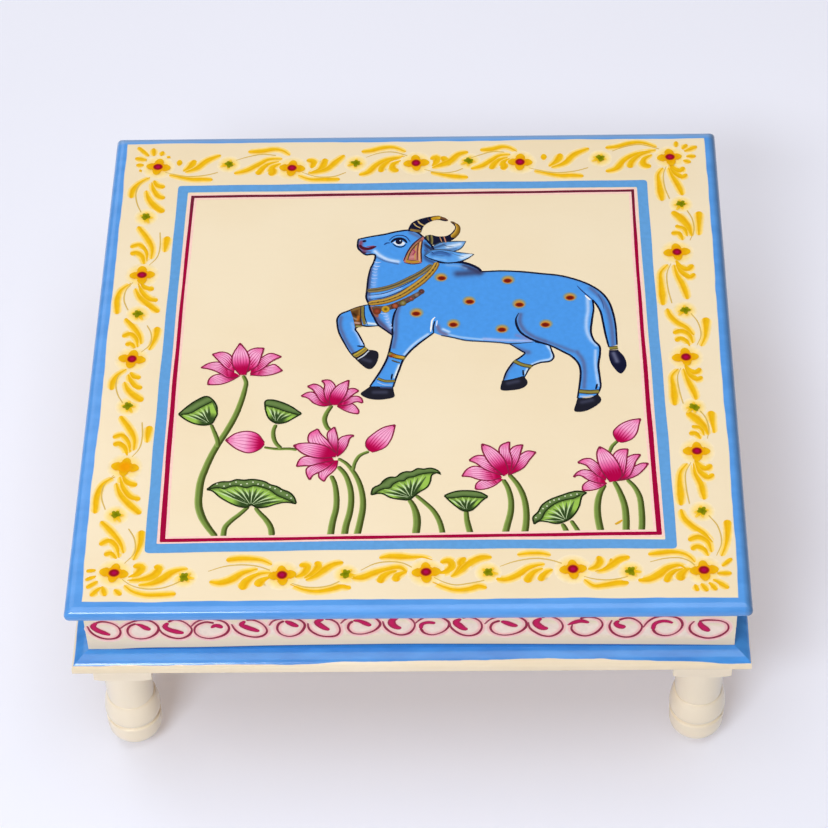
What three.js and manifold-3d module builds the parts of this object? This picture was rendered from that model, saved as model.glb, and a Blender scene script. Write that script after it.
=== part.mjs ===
// A bajot: a square, hand-painted low table on four short turned legs.
// Millimetres, +Z up. The origin is on the floor, under the middle of the table, and the front faces -Y.
import * as THREE from "three";
import { mergeVertices } from "three/addons/utils/BufferGeometryUtils.js";
import Module from "manifold-3d";

// Top board: a thin square plank with a rounded edge, widest a little below its face.
const topSide = 305;
const topThickness = 8;
const topCornerRadius = 2.2;
const topUpperReach = 6;
const topUpperDrop = 2.75;
const topLowerReach = 2;
const topLowerRise = 2.5;

// Apron: four strips on edge, mitred into a square box under the board and set back from its edge.
const topOverhang = 6.25;
const apronHeight = 27.5;
const apronThickness = 8;

// Base frame: four flat rails whose outer upper edge stands proud of the apron, moulded to a soft slope.
const railProud = 7.75;
const railWidth = 40;
const railThickness = 8.5;
const mouldingReach = 7.5;
const mouldingDrop = 5;
const mouldingFlatShare = 0.45;
const railFootRound = 0.75;

// Legs: a square pad, a waisted neck, a bulb, a groove and a bowl-shaped foot, with a spigot on top.
const legInset = 21;
const padSide = 27;
const padHeight = 18.5;
const shoulderRise = 4.5;
const shoulderMargin = 0.75;
const neckHeight = 23.2;
const neckTopRadius = 11.1;
const neckFootRadius = 10.2;
const neckHollow = 0.35;
const bulbHeight = 16.8;
const bulbRadius = 12.8;
const bulbCrownHeight = 12.6;
const bulbCrownFlatShare = 0.7;
const bulbFootHeight = 2.8;
const footHeight = 16.5;
const footRadius = 12.5;
const footSeatRadius = 8.3;
const grooveRadius = 11.2;
const grooveHalfWidth = 0.8;
const spigotRadius = 6;
const spigotShortfall = 0.5;

// Glue blocks in the corners of the apron, three-sided, with blunted tips.
const blockLeg = 32;
const blockTipWidth = 3;

// Leg screws: from the glue block down through the rails' mitre into the leg.
const screwLength = 50;
const screwShankRadius = 2.1;
const screwPointLength = 6;
const screwHeadRadius = 4;
const screwHeadHeight = 2.4;
const screwHeadSink = 4.5;
const screwSlotWidth = 1.2;
const screwSlotDepth = 1.1;

// Panel pins: two along each side, at the top joint and at the rail joint.
const pinLength = 20;
const pinShankRadius = 0.75;
const pinPointLength = 2.4;
const pinHeadRadius = 1.4;
const pinHeadHeight = 0.9;
const topPinBite = 5.5;
const topPinFromCorner = 76;
const railPinFromCorner = 50;

// Clearances between pieces that meet in a turned place, and the run-out of a cut past a face.
const mitreGap = 0.3;
const seatGap = 0.3;
const cutOverrun = 1;

// Facets
const legFacets = 32;
const pinFacets = 8;
const cornerFacets = 4;
const edgeFacets = 4;
const screwFacets = 12;

// Heights and half widths that follow from the sizes above.
const grooveLevel = footHeight;
const neckFootLevel = grooveLevel + bulbHeight;
const padLevel = neckFootLevel + neckHeight;
const railLevel = padLevel + padHeight;
const apronLevel = railLevel + railThickness;
const boardLevel = apronLevel + apronHeight;
const apronHalf = topSide / 2 - topOverhang;
const apronInner = apronHalf - apronThickness;
const railHalf = apronHalf + railProud;
const legFromCentre = railHalf - legInset;
const pinFromCentre = apronHalf - apronThickness / 2;

const wasm = await Module();
wasm.setup();

// A closed mesh as a solid that can be cut and joined.
function solidOf(geometry) {
  const plain = geometry.clone();
  plain.deleteAttribute("normal");
  plain.deleteAttribute("uv");
  const merged = mergeVertices(plain);
  return new wasm.Manifold(
    new wasm.Mesh({
      numProp: 3,
      vertProperties: new Float32Array(merged.attributes.position.array),
      triVerts: new Uint32Array(merged.index.array),
    }),
  );
}

// A cut or joined solid as a mesh again.
function geometryOf(solid) {
  const mesh = solid.getMesh();
  const geometry = new THREE.BufferGeometry();
  geometry.setAttribute("position", new THREE.BufferAttribute(mesh.vertProperties, 3));
  geometry.setIndex(new THREE.BufferAttribute(mesh.triVerts, 1));
  geometry.computeVertexNormals();
  return geometry;
}

// Points on a quarter of an ellipse about (x, y): from straight out along x to straight up along y.
function quarterPoints(x, y, alongX, alongY, count) {
  const points = [];
  for (let i = 0; i <= count; i++) {
    const angle = ((Math.PI / 2) * i) / count;
    points.push(new THREE.Vector2(x + alongX * Math.cos(angle), y + alongY * Math.sin(angle)));
  }
  return points;
}

// A profile of (radius, height) points turned about a vertical axis.
function turned(profile, facets) {
  return new THREE.LatheGeometry(profile, facets).rotateX(Math.PI / 2);
}

// An upright cylinder from one height to another, for bores.
function boreSolid(x, y, radius, from, to, facets) {
  const cylinder = new THREE.CylinderGeometry(radius, radius, to - from, facets);
  cylinder.rotateX(Math.PI / 2);
  cylinder.translate(x, y, (from + to) / 2);
  return solidOf(cylinder);
}

// One ring of a square outline with round corners, at a height.
function squareRing(half, radius, level) {
  const points = [];
  for (let corner = 0; corner < 4; corner++) {
    for (let i = 0; i <= cornerFacets; i++) {
      const angle = (Math.PI / 2) * (corner + i / cornerFacets);
      const centreAngle = (Math.PI / 2) * (corner + 1 / 2);
      const reach = (half - radius) * Math.SQRT2;
      points.push([
        reach * Math.cos(centreAngle) + radius * Math.cos(angle),
        reach * Math.sin(centreAngle) + radius * Math.sin(angle),
        level,
      ]);
    }
  }
  return points;
}

// Rings of equal length, from the lowest to the highest, skinned and closed by a fan at each end.
function loft(rings) {
  const size = rings[0].length;
  const vertices = rings.flat();
  const faces = [];
  for (let r = 0; r + 1 < rings.length; r++) {
    for (let i = 0; i < size; i++) {
      const next = (i + 1) % size;
      const a = r * size + i;
      const b = r * size + next;
      faces.push(a, b, b + size, a, b + size, a + size);
    }
  }
  const last = (rings.length - 1) * size;
  for (let i = 1; i + 1 < size; i++) {
    faces.push(0, i + 1, i);
    faces.push(last, last + i, last + i + 1);
  }
  const geometry = new THREE.BufferGeometry();
  geometry.setAttribute("position", new THREE.Float32BufferAttribute(vertices.flat(), 3));
  geometry.setIndex(faces);
  return geometry;
}

// A strip of the front side of a square frame, mitred at both ends.
// Its section is drawn with x as the distance from the table's middle and y as the height.
function mitredStrip(section) {
  const setBack = mitreGap / Math.SQRT2;
  const geometry = new THREE.ExtrudeGeometry(section, { depth: 1, steps: 1, bevelEnabled: false });
  const position = geometry.attributes.position;
  for (let i = 0; i < position.count; i++) {
    const out = position.getX(i);
    const level = position.getY(i);
    const end = 1 - 2 * position.getZ(i);
    position.setXYZ(i, end * (out - setBack), -out, level);
  }
  return geometry;
}

// Where the pins along the front side stand, as distances from its middle.
const topPinPlaces = [topPinFromCorner - apronHalf, apronHalf - topPinFromCorner];
const railPinPlaces = [railPinFromCorner - apronHalf, apronHalf - railPinFromCorner];
const pinHoleRadius = pinShankRadius + seatGap;
const topPinTop = boardLevel + topPinBite;
const topPinFoot = topPinTop - pinLength;
const railPinTop = railLevel + pinLength;

// The levels of a leg screw.
const screwHeadLevel = boardLevel - screwHeadSink;
const screwSeatLevel = screwHeadLevel - screwHeadHeight;
const screwTipLevel = screwHeadLevel - screwLength;
const screwHoleRadius = screwShankRadius + seatGap;
const screwSinkRadius = screwHeadRadius + seatGap;

function topBoard() {
  const half = topSide / 2;
  const rings = [];
  for (const p of quarterPoints(0, topLowerRise, topLowerReach, -topLowerRise, edgeFacets).reverse()) {
    const inset = topLowerReach - p.x;
    rings.push(squareRing(half - inset, topCornerRadius, p.y));
  }
  const widest = topThickness - topUpperDrop;
  for (const p of quarterPoints(0, widest, topUpperReach, topUpperDrop, edgeFacets)) {
    const inset = topUpperReach - p.x;
    const radius = Math.max(topCornerRadius - inset / 2, topCornerRadius / edgeFacets);
    rings.push(squareRing(half - inset, radius, p.y));
  }
  let board = solidOf(loft(rings).translate(0, 0, boardLevel));
  const holeTop = topPinTop + seatGap;
  for (const place of topPinPlaces) {
    const spots = [
      [place, -pinFromCentre],
      [place, pinFromCentre],
      [-pinFromCentre, place],
      [pinFromCentre, place],
    ];
    for (const [x, y] of spots) {
      board = board.subtract(boreSolid(x, y, pinHoleRadius, boardLevel - cutOverrun, holeTop, pinFacets));
    }
  }
  return geometryOf(board);
}

function apronStrip() {
  const section = new THREE.Shape();
  section.moveTo(apronInner, apronLevel);
  section.lineTo(apronHalf, apronLevel);
  section.lineTo(apronHalf, boardLevel);
  section.lineTo(apronInner, boardLevel);
  let strip = solidOf(mitredStrip(section));
  const topHoleFoot = topPinFoot - seatGap;
  for (const place of topPinPlaces) {
    const hole = boreSolid(place, -pinFromCentre, pinHoleRadius, topHoleFoot, boardLevel + cutOverrun, pinFacets);
    strip = strip.subtract(hole);
  }
  const railHoleTop = railPinTop + seatGap;
  for (const place of railPinPlaces) {
    const hole = boreSolid(place, -pinFromCentre, pinHoleRadius, apronLevel - cutOverrun, railHoleTop, pinFacets);
    strip = strip.subtract(hole);
  }
  return geometryOf(strip);
}

function baseRail() {
  const section = new THREE.Shape();
  section.moveTo(railHalf - railWidth, railLevel);
  section.lineTo(railHalf - railFootRound, railLevel);
  section.lineTo(railHalf, railLevel + railFootRound);
  for (const p of quarterPoints(0, 0, mouldingReach, mouldingDrop, edgeFacets)) {
    const roundDrop = mouldingDrop - p.y;
    const slopeDrop = (mouldingDrop * p.x) / mouldingReach;
    const drop = THREE.MathUtils.lerp(roundDrop, slopeDrop, mouldingFlatShare);
    section.lineTo(railHalf - mouldingReach + p.x, apronLevel - drop);
  }
  section.lineTo(railHalf - railWidth, apronLevel);
  let rail = solidOf(mitredStrip(section));
  const below = railLevel - cutOverrun;
  const above = apronLevel + cutOverrun;
  for (const end of [-1, 1]) {
    const hole = boreSolid(end * legFromCentre, -legFromCentre, spigotRadius + seatGap, below, above, legFacets);
    rail = rail.subtract(hole);
  }
  const headTop = railLevel + pinHeadHeight + seatGap;
  for (const place of railPinPlaces) {
    rail = rail.subtract(boreSolid(place, -pinFromCentre, pinHoleRadius, below, above, pinFacets));
    rail = rail.subtract(boreSolid(place, -pinFromCentre, pinHeadRadius + seatGap, below, headTop, pinFacets));
  }
  return geometryOf(rail);
}

// The turned profile below the pad, from the floor up, as (radius, height) points.
function turnedProfile() {
  const point = (radius, height) => new THREE.Vector2(radius, height);
  const lipBelow = grooveLevel - grooveHalfWidth;
  const lipAbove = grooveLevel + grooveHalfWidth;
  const bowl = quarterPoints(footSeatRadius, lipBelow, footRadius - footSeatRadius, -lipBelow, 2 * edgeFacets);
  const bulbBulge = (bulbRadius - grooveRadius) / 2;
  const belly = quarterPoints(bulbRadius - bulbBulge, lipAbove + bulbFootHeight, bulbBulge, -bulbFootHeight, 2);
  const crownLevel = neckFootLevel - bulbCrownHeight;
  const crownReach = bulbRadius - neckFootRadius;
  const crown = quarterPoints(neckFootRadius, crownLevel, crownReach, bulbCrownHeight, edgeFacets + 1);
  for (const p of crown) {
    const slope = neckFootRadius + (crownReach * (neckFootLevel - p.y)) / bulbCrownHeight;
    p.x = THREE.MathUtils.lerp(p.x, slope, bulbCrownFlatShare);
  }
  const neck = [];
  for (let i = 1; i <= edgeFacets; i++) {
    const share = i / edgeFacets;
    const hollow = neckHollow * Math.sin(Math.PI * share);
    const radius = THREE.MathUtils.lerp(neckFootRadius, neckTopRadius, share) - hollow;
    neck.push(point(radius, neckFootLevel + neckHeight * share));
  }
  const insidePad = padLevel + padHeight / 2;
  return [
    point(0, 0),
    ...bowl.reverse(),
    point(grooveRadius, grooveLevel),
    ...belly.reverse(),
    ...crown,
    ...neck,
    point(neckTopRadius, insidePad),
    point(0, insidePad),
  ];
}

// The square pad, its lower edge cut to an arc on each side by the turning of the shoulder.
function padSolid() {
  const block = new THREE.BoxGeometry(padSide, padSide, padHeight);
  block.translate(0, 0, padLevel + padHeight / 2);
  const acrossCorners = (padSide / 2) * Math.SQRT2 + shoulderMargin;
  const reach = acrossCorners - neckTopRadius;
  const shoulder = quarterPoints(neckTopRadius, padLevel + shoulderRise, reach, -shoulderRise, 2 * edgeFacets);
  const above = railLevel + cutOverrun;
  const profile = [
    new THREE.Vector2(0, padLevel),
    ...shoulder.reverse(),
    new THREE.Vector2(acrossCorners, above),
    new THREE.Vector2(0, above),
  ];
  return solidOf(block).intersect(solidOf(turned(profile, legFacets)));
}

function leg() {
  const spigotTop = apronLevel - spigotShortfall;
  const spigot = boreSolid(0, 0, spigotRadius, railLevel - cutOverrun, spigotTop, legFacets);
  const pilotFoot = screwTipLevel - seatGap;
  const pilot = boreSolid(0, 0, screwHoleRadius, pilotFoot, spigotTop + cutOverrun, screwFacets);
  const body = solidOf(turned(turnedProfile(), legFacets));
  return geometryOf(body.add(padSolid()).add(spigot).subtract(pilot));
}

// Drawn for the front right corner, with its square corner seated into the apron's mitre.
function cornerBlock() {
  const corner = apronInner - seatGap;
  const tip = corner - blockLeg;
  const outline = new THREE.Shape();
  outline.moveTo(corner, corner);
  outline.lineTo(tip, corner);
  outline.lineTo(tip, corner - blockTipWidth);
  outline.lineTo(corner - blockTipWidth, tip);
  outline.lineTo(corner, tip);
  const prism = new THREE.ExtrudeGeometry(outline, { depth: apronHeight, bevelEnabled: false });
  prism.scale(1, -1, -1);
  prism.translate(0, 0, boardLevel);
  const bore = boreSolid(
    legFromCentre,
    -legFromCentre,
    screwHoleRadius,
    apronLevel - cutOverrun,
    boardLevel + cutOverrun,
    screwFacets,
  );
  const sink = boreSolid(
    legFromCentre,
    -legFromCentre,
    screwSinkRadius,
    screwSeatLevel - seatGap,
    boardLevel + cutOverrun,
    screwFacets,
  );
  return geometryOf(solidOf(prism).subtract(bore).subtract(sink));
}

function legScrew() {
  const profile = [
    new THREE.Vector2(0, screwTipLevel),
    new THREE.Vector2(screwShankRadius, screwTipLevel + screwPointLength),
    new THREE.Vector2(screwShankRadius, screwSeatLevel),
    new THREE.Vector2(screwHeadRadius, screwSeatLevel),
    ...quarterPoints(0, screwSeatLevel, screwHeadRadius, screwHeadHeight, edgeFacets).slice(1),
  ];
  const slot = new THREE.BoxGeometry(2 * screwHeadRadius + cutOverrun, screwSlotWidth, 2 * screwSlotDepth);
  slot.translate(0, 0, screwHeadLevel);
  return geometryOf(solidOf(turned(profile, screwFacets)).subtract(solidOf(slot)));
}

// A headless pin across the joint of board and apron, its point down.
function topPin() {
  return turned(
    [
      new THREE.Vector2(0, topPinFoot),
      new THREE.Vector2(pinShankRadius, topPinFoot + pinPointLength),
      new THREE.Vector2(pinShankRadius, topPinTop),
      new THREE.Vector2(0, topPinTop),
    ],
    pinFacets,
  );
}

// A headed pin driven up through a rail into the apron, its head flush with the underside.
function railPin() {
  return turned(
    [
      new THREE.Vector2(0, railLevel),
      new THREE.Vector2(pinHeadRadius, railLevel),
      new THREE.Vector2(pinHeadRadius, railLevel + pinHeadHeight),
      new THREE.Vector2(pinShankRadius, railLevel + pinHeadHeight),
      new THREE.Vector2(pinShankRadius, railPinTop - pinPointLength),
      new THREE.Vector2(0, railPinTop),
    ],
    pinFacets,
  );
}

const finishes = {
  cream: { color: 0xe8d9b4, roughness: 0.3, metalness: 0 },
  blue: { color: 0x3f86d8, roughness: 0.3, metalness: 0 },
  wood: { color: 0xb98a55, roughness: 0.7, metalness: 0 },
  steel: { color: 0x9a9a98, roughness: 0.4, metalness: 1 },
};

function piece(name, geometry, finish) {
  const mesh = new THREE.Mesh(geometry, new THREE.MeshStandardMaterial(finishes[finish]));
  mesh.name = name;
  return mesh;
}

const group = new THREE.Group();
group.add(piece("top_board", topBoard(), "cream"));

// Each side carries its apron strip, its rail and its pins, drawn for the front and turned into place.
const apronGeometry = apronStrip();
const railGeometry = baseRail();
const topPinGeometry = topPin();
const railPinGeometry = railPin();
const sides = ["front", "right", "back", "left"];
sides.forEach((side, turn) => {
  const place = new THREE.Group();
  place.rotation.z = (turn * Math.PI) / 2;
  place.add(piece(`apron_${side}`, apronGeometry, "cream"));
  place.add(piece(`base_rail_${side}`, railGeometry, "blue"));
  for (const [i, along] of topPinPlaces.entries()) {
    const pin = piece(`top_pin_${side}_${i + 1}`, topPinGeometry, "steel");
    pin.position.set(along, -pinFromCentre, 0);
    place.add(pin);
  }
  for (const [i, along] of railPinPlaces.entries()) {
    const pin = piece(`rail_pin_${side}_${i + 1}`, railPinGeometry, "steel");
    pin.position.set(along, -pinFromCentre, 0);
    place.add(pin);
  }
  group.add(place);
});

// Each corner carries a glue block, turned into place, and a leg with its screw.
const blockGeometry = cornerBlock();
const legGeometry = leg();
const screwGeometry = legScrew();
const corners = ["front_right", "back_right", "back_left", "front_left"];
corners.forEach((corner, turn) => {
  const place = new THREE.Group();
  place.rotation.z = (turn * Math.PI) / 2;
  place.add(piece(`corner_block_${corner}`, blockGeometry, "wood"));
  const turnedLeg = piece(`leg_${corner}`, legGeometry, "cream");
  turnedLeg.position.set(legFromCentre, -legFromCentre, 0);
  place.add(turnedLeg);
  const screw = piece(`leg_screw_${corner}`, screwGeometry, "steel");
  screw.position.set(legFromCentre, -legFromCentre, 0);
  place.add(screw);
  group.add(place);
});

export default group;
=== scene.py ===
"""A hand-painted bajot low table: smooth board, rails and legs round the CAD part, and their brushwork."""

import math  # noqa: E402
import random  # noqa: E402

import bpy  # noqa: E402
import numpy as np  # noqa: E402
from mathutils import Matrix, Vector  # noqa: E402
from mathutils.geometry import delaunay_2d_cdt  # noqa: E402


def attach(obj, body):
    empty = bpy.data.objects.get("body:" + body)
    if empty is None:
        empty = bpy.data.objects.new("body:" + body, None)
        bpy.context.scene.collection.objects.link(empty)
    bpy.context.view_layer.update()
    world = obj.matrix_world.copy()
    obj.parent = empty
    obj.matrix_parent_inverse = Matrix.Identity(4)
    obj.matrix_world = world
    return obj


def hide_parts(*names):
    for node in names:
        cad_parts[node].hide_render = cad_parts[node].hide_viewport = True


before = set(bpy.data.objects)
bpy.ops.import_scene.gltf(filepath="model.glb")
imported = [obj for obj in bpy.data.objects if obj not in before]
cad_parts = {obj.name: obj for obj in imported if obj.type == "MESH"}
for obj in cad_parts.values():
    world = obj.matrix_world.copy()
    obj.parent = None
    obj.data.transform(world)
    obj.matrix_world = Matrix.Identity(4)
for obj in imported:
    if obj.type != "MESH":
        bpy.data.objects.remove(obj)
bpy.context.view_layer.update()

MM = 0.001

# The photo's camera, in metres and radians. The photo is square.
PHOTO_SIDE = 828
PHOTO_MIDDLE = PHOTO_SIDE / 2
FOCAL_PX = 2951.8
SENSOR_MM = 36
CAMERA_PLACE = np.array([0.03659, -0.94082, 1.16292])
CAMERA_TURN = 0.03901
CAMERA_TILT = 0.85697
CAMERA_ROLL = -0.03835

# The table, in metres.
TOP_HALF = 0.1525
BOARD_LEVEL = 0.111
APRON_LEVEL = 0.0835
RAIL_LEVEL = 0.075
APRON_HALF = 0.14625
APRON_INNER = 0.13825
RAIL_HALF = 0.154
RAIL_INNER = 0.114
LEG_PLACE = 0.133
SIDES = ("front", "right", "back", "left")
CORNERS = {"front_right": (1, -1), "back_right": (1, 1), "back_left": (-1, 1), "front_left": (-1, -1)}

# The paint on the top lies in thin coats between the bare face and the top level.
FACE_LEVEL = 0.1185
COAT = 0.00002
HAIRS = 9
PAINT_PLANE = 0.1188
APRON_PAINT = APRON_HALF + 2 * COAT

# A pixel of the photo, as wide as it is on the top.
PX = 0.00048

# How finely lines and fills are cut: steps and grains in metres, counts, and shares of them.
LINE_STEP = 0.0006
STATION_STEP = 0.0008
LEAST_STATIONS = 4
END_SHARES = (0.08, 0.25, 0.5, 0.8)
PLAIN_SAMPLES = 3
BROAD_GRAIN = 0.0009
PETAL_GRAIN = 0.0006
LEAF_GRAIN = 0.0008
BODY_GRAIN = 0.00065
LIMB_GRAIN = 0.0007
HOOF_GRAIN = 0.0006
EAR_GRAIN = 0.0005
FINE_GRAIN = 0.0004
GRAIN_ROW_SHARE = 0.87
GRAIN_CLEAR_SHARE = 0.4
DOT_SIDES = 18
MERGE_MM = 1e-5

# A stroke keeps within a share of its bend's radius, and rises by a share of a hair along its length.
BEND_ROOM_SHARE = 0.85
HAIR_RISE_SHARE = 0.8

# The least values that a sum divides by.
NONZERO = 1e-12
LEAST_STEP = 1e-9
LEAST_REACH = 1e-7
LEAST_BEND = 1e-3

# Paints, as the eye reads them (sRGB, 0 to 255).
CREAM = (243, 226, 195)
CREAM_WARM = (238, 217, 180)
APRON_CREAM = (247, 229, 202)
LEG_CREAM = (250, 235, 210)
BOARD_WOOD = (196, 158, 112)
RAIL_WOOD = (200, 164, 118)
WOOD_PALE = (214, 178, 128)
WOOD_DARK = (166, 122, 76)
STEEL_PALE = (190, 190, 192)
STEEL_DARK = (150, 151, 156)
FLOOR_UNSEEN = ((240, 240, 244), (238, 238, 242))
FLOOR_SEEN = ((208, 216, 232), (206, 214, 230))
BLUE = (90, 158, 232)
# Painted sheen: the back edge's blue made paler and greyer, as the bright surroundings reflect in it.
BLUE_PAINTED_SHEEN = (160, 180, 202)
# Painted shade: the right edge's blue made darker, as it faces away from the key light.
BLUE_PAINTED_SHADE = (76, 98, 124)
BLUE_DEEP = (78, 146, 220)
RAIL_BLUE = (72, 152, 230)
RAIL_DEEP = (58, 132, 212)
# Painted shadow: the dark blue along the top of the strip on the apron's foot.
RAIL_PAINTED_SHADOW = (52, 104, 166)
FRAME_BLUE = (98, 158, 216)
PIN_CRIMSON = (160, 4, 58)
PIN_DARK = (108, 34, 54)
PIN_MIST = (250, 208, 198)
YELLOW = (236, 184, 22)
YELLOW_DEEP = (230, 170, 12)
YELLOW_LINE = (216, 166, 44)
YELLOW_SOFT = (242, 194, 62)
YELLOW_PALE = (251, 211, 100)
YELLOW_MIST = (249, 221, 146)
STEM_YELLOW = (214, 180, 92)
ORANGE = (238, 156, 4)
HEART_DARK = (150, 12, 30)
HEART_RED = (172, 8, 76)
BUD_GREEN = (104, 114, 2)
BUD_OLIVE = (152, 148, 8)
PRINT_GOLD = (218, 146, 48)
PRINT_EDGE = (164, 150, 98)
PRINT_CORE = (118, 22, 12)
SWIRL_RING = (158, 50, 78)
SWIRL_FAINT = (196, 128, 136)
SWIRL_BLOB = (206, 36, 98)
SWIRL_MIST = (255, 202, 199)
APRON_ROSE = (252, 232, 219)
COW_BLUE = (76, 151, 231)
COW_LIGHT = (200, 222, 250)
COW_SHADE = (88, 106, 156)
COW_DUSK = (58, 62, 98)
LIGHT_BAND = (178, 206, 246)
FAR_EAR_BLUE = (104, 158, 218)
NEAR_EAR_BLUE = (92, 160, 232)
EAR_PALE = (222, 234, 250)
EAR_RIM = (64, 80, 104)
HORN_TAN = (202, 172, 112)
EYE_WHITE = (226, 232, 240)
CHEEK_RED = (186, 112, 112)
CHEEK_DARK = (62, 44, 44)
BEAD_SHADOW = (66, 56, 48)
GILT = (196, 152, 58)
INK = (20, 22, 48)
HOOF = (30, 30, 42)
HOOF_LIGHT = (64, 66, 88)
GOLD = (190, 144, 34)
GOLD_LIGHT = (222, 182, 70)
OLIVE = (128, 116, 52)
BROWN = (96, 60, 26)
RUSSET = (158, 76, 44)
MUZZLE_RED = (140, 62, 84)
LIP = (84, 24, 42)
WHITE = (250, 248, 240)
PINK_PALE = (245, 172, 208)
PINK = (236, 126, 178)
PINK_DEEP = (222, 74, 140)
PINK_LINE = (206, 92, 150)
CRIMSON = (176, 2, 70)
PETAL_INK = (132, 34, 66)
LEAF_INK = (34, 46, 20)
LEAF_LIME = (154, 194, 82)
LEAF_RIM = (104, 130, 72)
LEAF_DARK = (52, 74, 36)
LEAF_PALE = (196, 218, 166)
RIM_DOT = (214, 222, 190)
STEM = (116, 140, 66)
STEM_LIGHT = (178, 190, 112)
STEM_DARK = (66, 76, 28)

random.seed(7)


def axes():
    """The camera's forward, right and up directions, its roll taken in."""
    level = np.array([math.cos(CAMERA_TURN), math.sin(CAMERA_TURN), 0.0])
    forward = np.array(
        [
            -math.sin(CAMERA_TURN) * math.cos(CAMERA_TILT),
            math.cos(CAMERA_TURN) * math.cos(CAMERA_TILT),
            -math.sin(CAMERA_TILT),
        ]
    )
    upright = np.cross(level, forward)
    right = math.cos(CAMERA_ROLL) * level + math.sin(CAMERA_ROLL) * upright
    up = math.cos(CAMERA_ROLL) * upright - math.sin(CAMERA_ROLL) * level
    return forward, right, up


FORWARD, RIGHT, UP = axes()


def rays(points):
    """The camera's rays through photo points."""
    p = np.atleast_2d(np.asarray(points, float))
    return FORWARD + (p[:, :1] - PHOTO_MIDDLE) / FOCAL_PX * RIGHT + (PHOTO_MIDDLE - p[:, 1:]) / FOCAL_PX * UP


def top(*points):
    """Photo points as (x, y) on the painted face."""
    d = rays(points)
    reach = (PAINT_PLANE - CAMERA_PLACE[2]) / d[:, 2:]
    return (CAMERA_PLACE + reach * d)[:, :2]


def front(*points):
    """Photo points as (x, z) on the front of the apron."""
    d = rays(points)
    reach = (-APRON_PAINT - CAMERA_PLACE[1]) / d[:, 1:2]
    return (CAMERA_PLACE + reach * d)[:, [0, 2]]


# Lines, outlines and colours.


def spline(points, step=LINE_STEP):
    """A smooth line through the points, sampled about every step."""
    p = np.asarray(points, float)
    q = np.vstack([2 * p[:1] - p[1:2], p, 2 * p[-1:] - p[-2:-1]])
    line = []
    for a, b, c, d in zip(q, q[1:], q[2:], q[3:]):
        knots = np.cumsum([0] + [max(np.linalg.norm(v), LEAST_STEP) ** 0.5 for v in (b - a, c - b, d - c)])
        count = max(2, math.ceil(np.linalg.norm(c - b) / step))
        t = np.linspace(knots[1], knots[2], count, endpoint=False)[:, None]

        def between(u, v, i, j):
            return ((knots[j] - t) * u + (t - knots[i]) * v) / (knots[j] - knots[i])

        ab, bc, cd = between(a, b, 0, 1), between(b, c, 1, 2), between(c, d, 2, 3)
        line.append(between(between(ab, bc, 0, 2), between(bc, cd, 1, 3), 1, 2))
    line.append(p[-1:])
    return np.vstack(line)


def outline(*runs):
    """A closed outline of smooth runs that meet at sharp corners."""
    return np.vstack([spline(run)[:-1] for run in runs])


def inside(points, edge):
    """Which points lie inside a closed outline."""
    x, y = points[:, :1], points[:, 1:]
    a, b = edge, np.roll(edge, -1, axis=0)
    crosses = (a[:, 1] > y) != (b[:, 1] > y)
    rise = np.where(b[:, 1] == a[:, 1], NONZERO, b[:, 1] - a[:, 1])
    hit = x < (b[:, 0] - a[:, 0]) * (y - a[:, 1]) / rise + a[:, 0]
    return (crosses & hit).sum(axis=1) % 2 == 1


def away(points, line):
    """How far each point is from a line."""
    a, b = line[:-1], line[1:]
    along = b - a
    size = np.maximum((along**2).sum(axis=1), LEAST_STEP**2)
    share = ((points[:, None] - a) * along).sum(axis=2) / size
    nearest = a + np.clip(share, 0, 1)[..., None] * along
    return np.sqrt(((points[:, None] - nearest) ** 2).sum(axis=2).min(axis=1))


def linear(tints):
    """sRGB colours of 0 to 255 as linear ones of 0 to 1."""
    c = np.clip(np.asarray(tints, float) / 255, 0, 1)
    return np.where(c <= 0.04045, c / 12.92, ((c + 0.055) / 1.055) ** 2.4)


def blend(shares, colours):
    """Colours spaced evenly from 0 to 1, read at the shares."""
    stops = np.linspace(0, 1, len(colours))
    c = np.asarray(colours, float)
    return np.stack([np.interp(shares, stops, c[:, k]) for k in range(3)], axis=-1)


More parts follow.
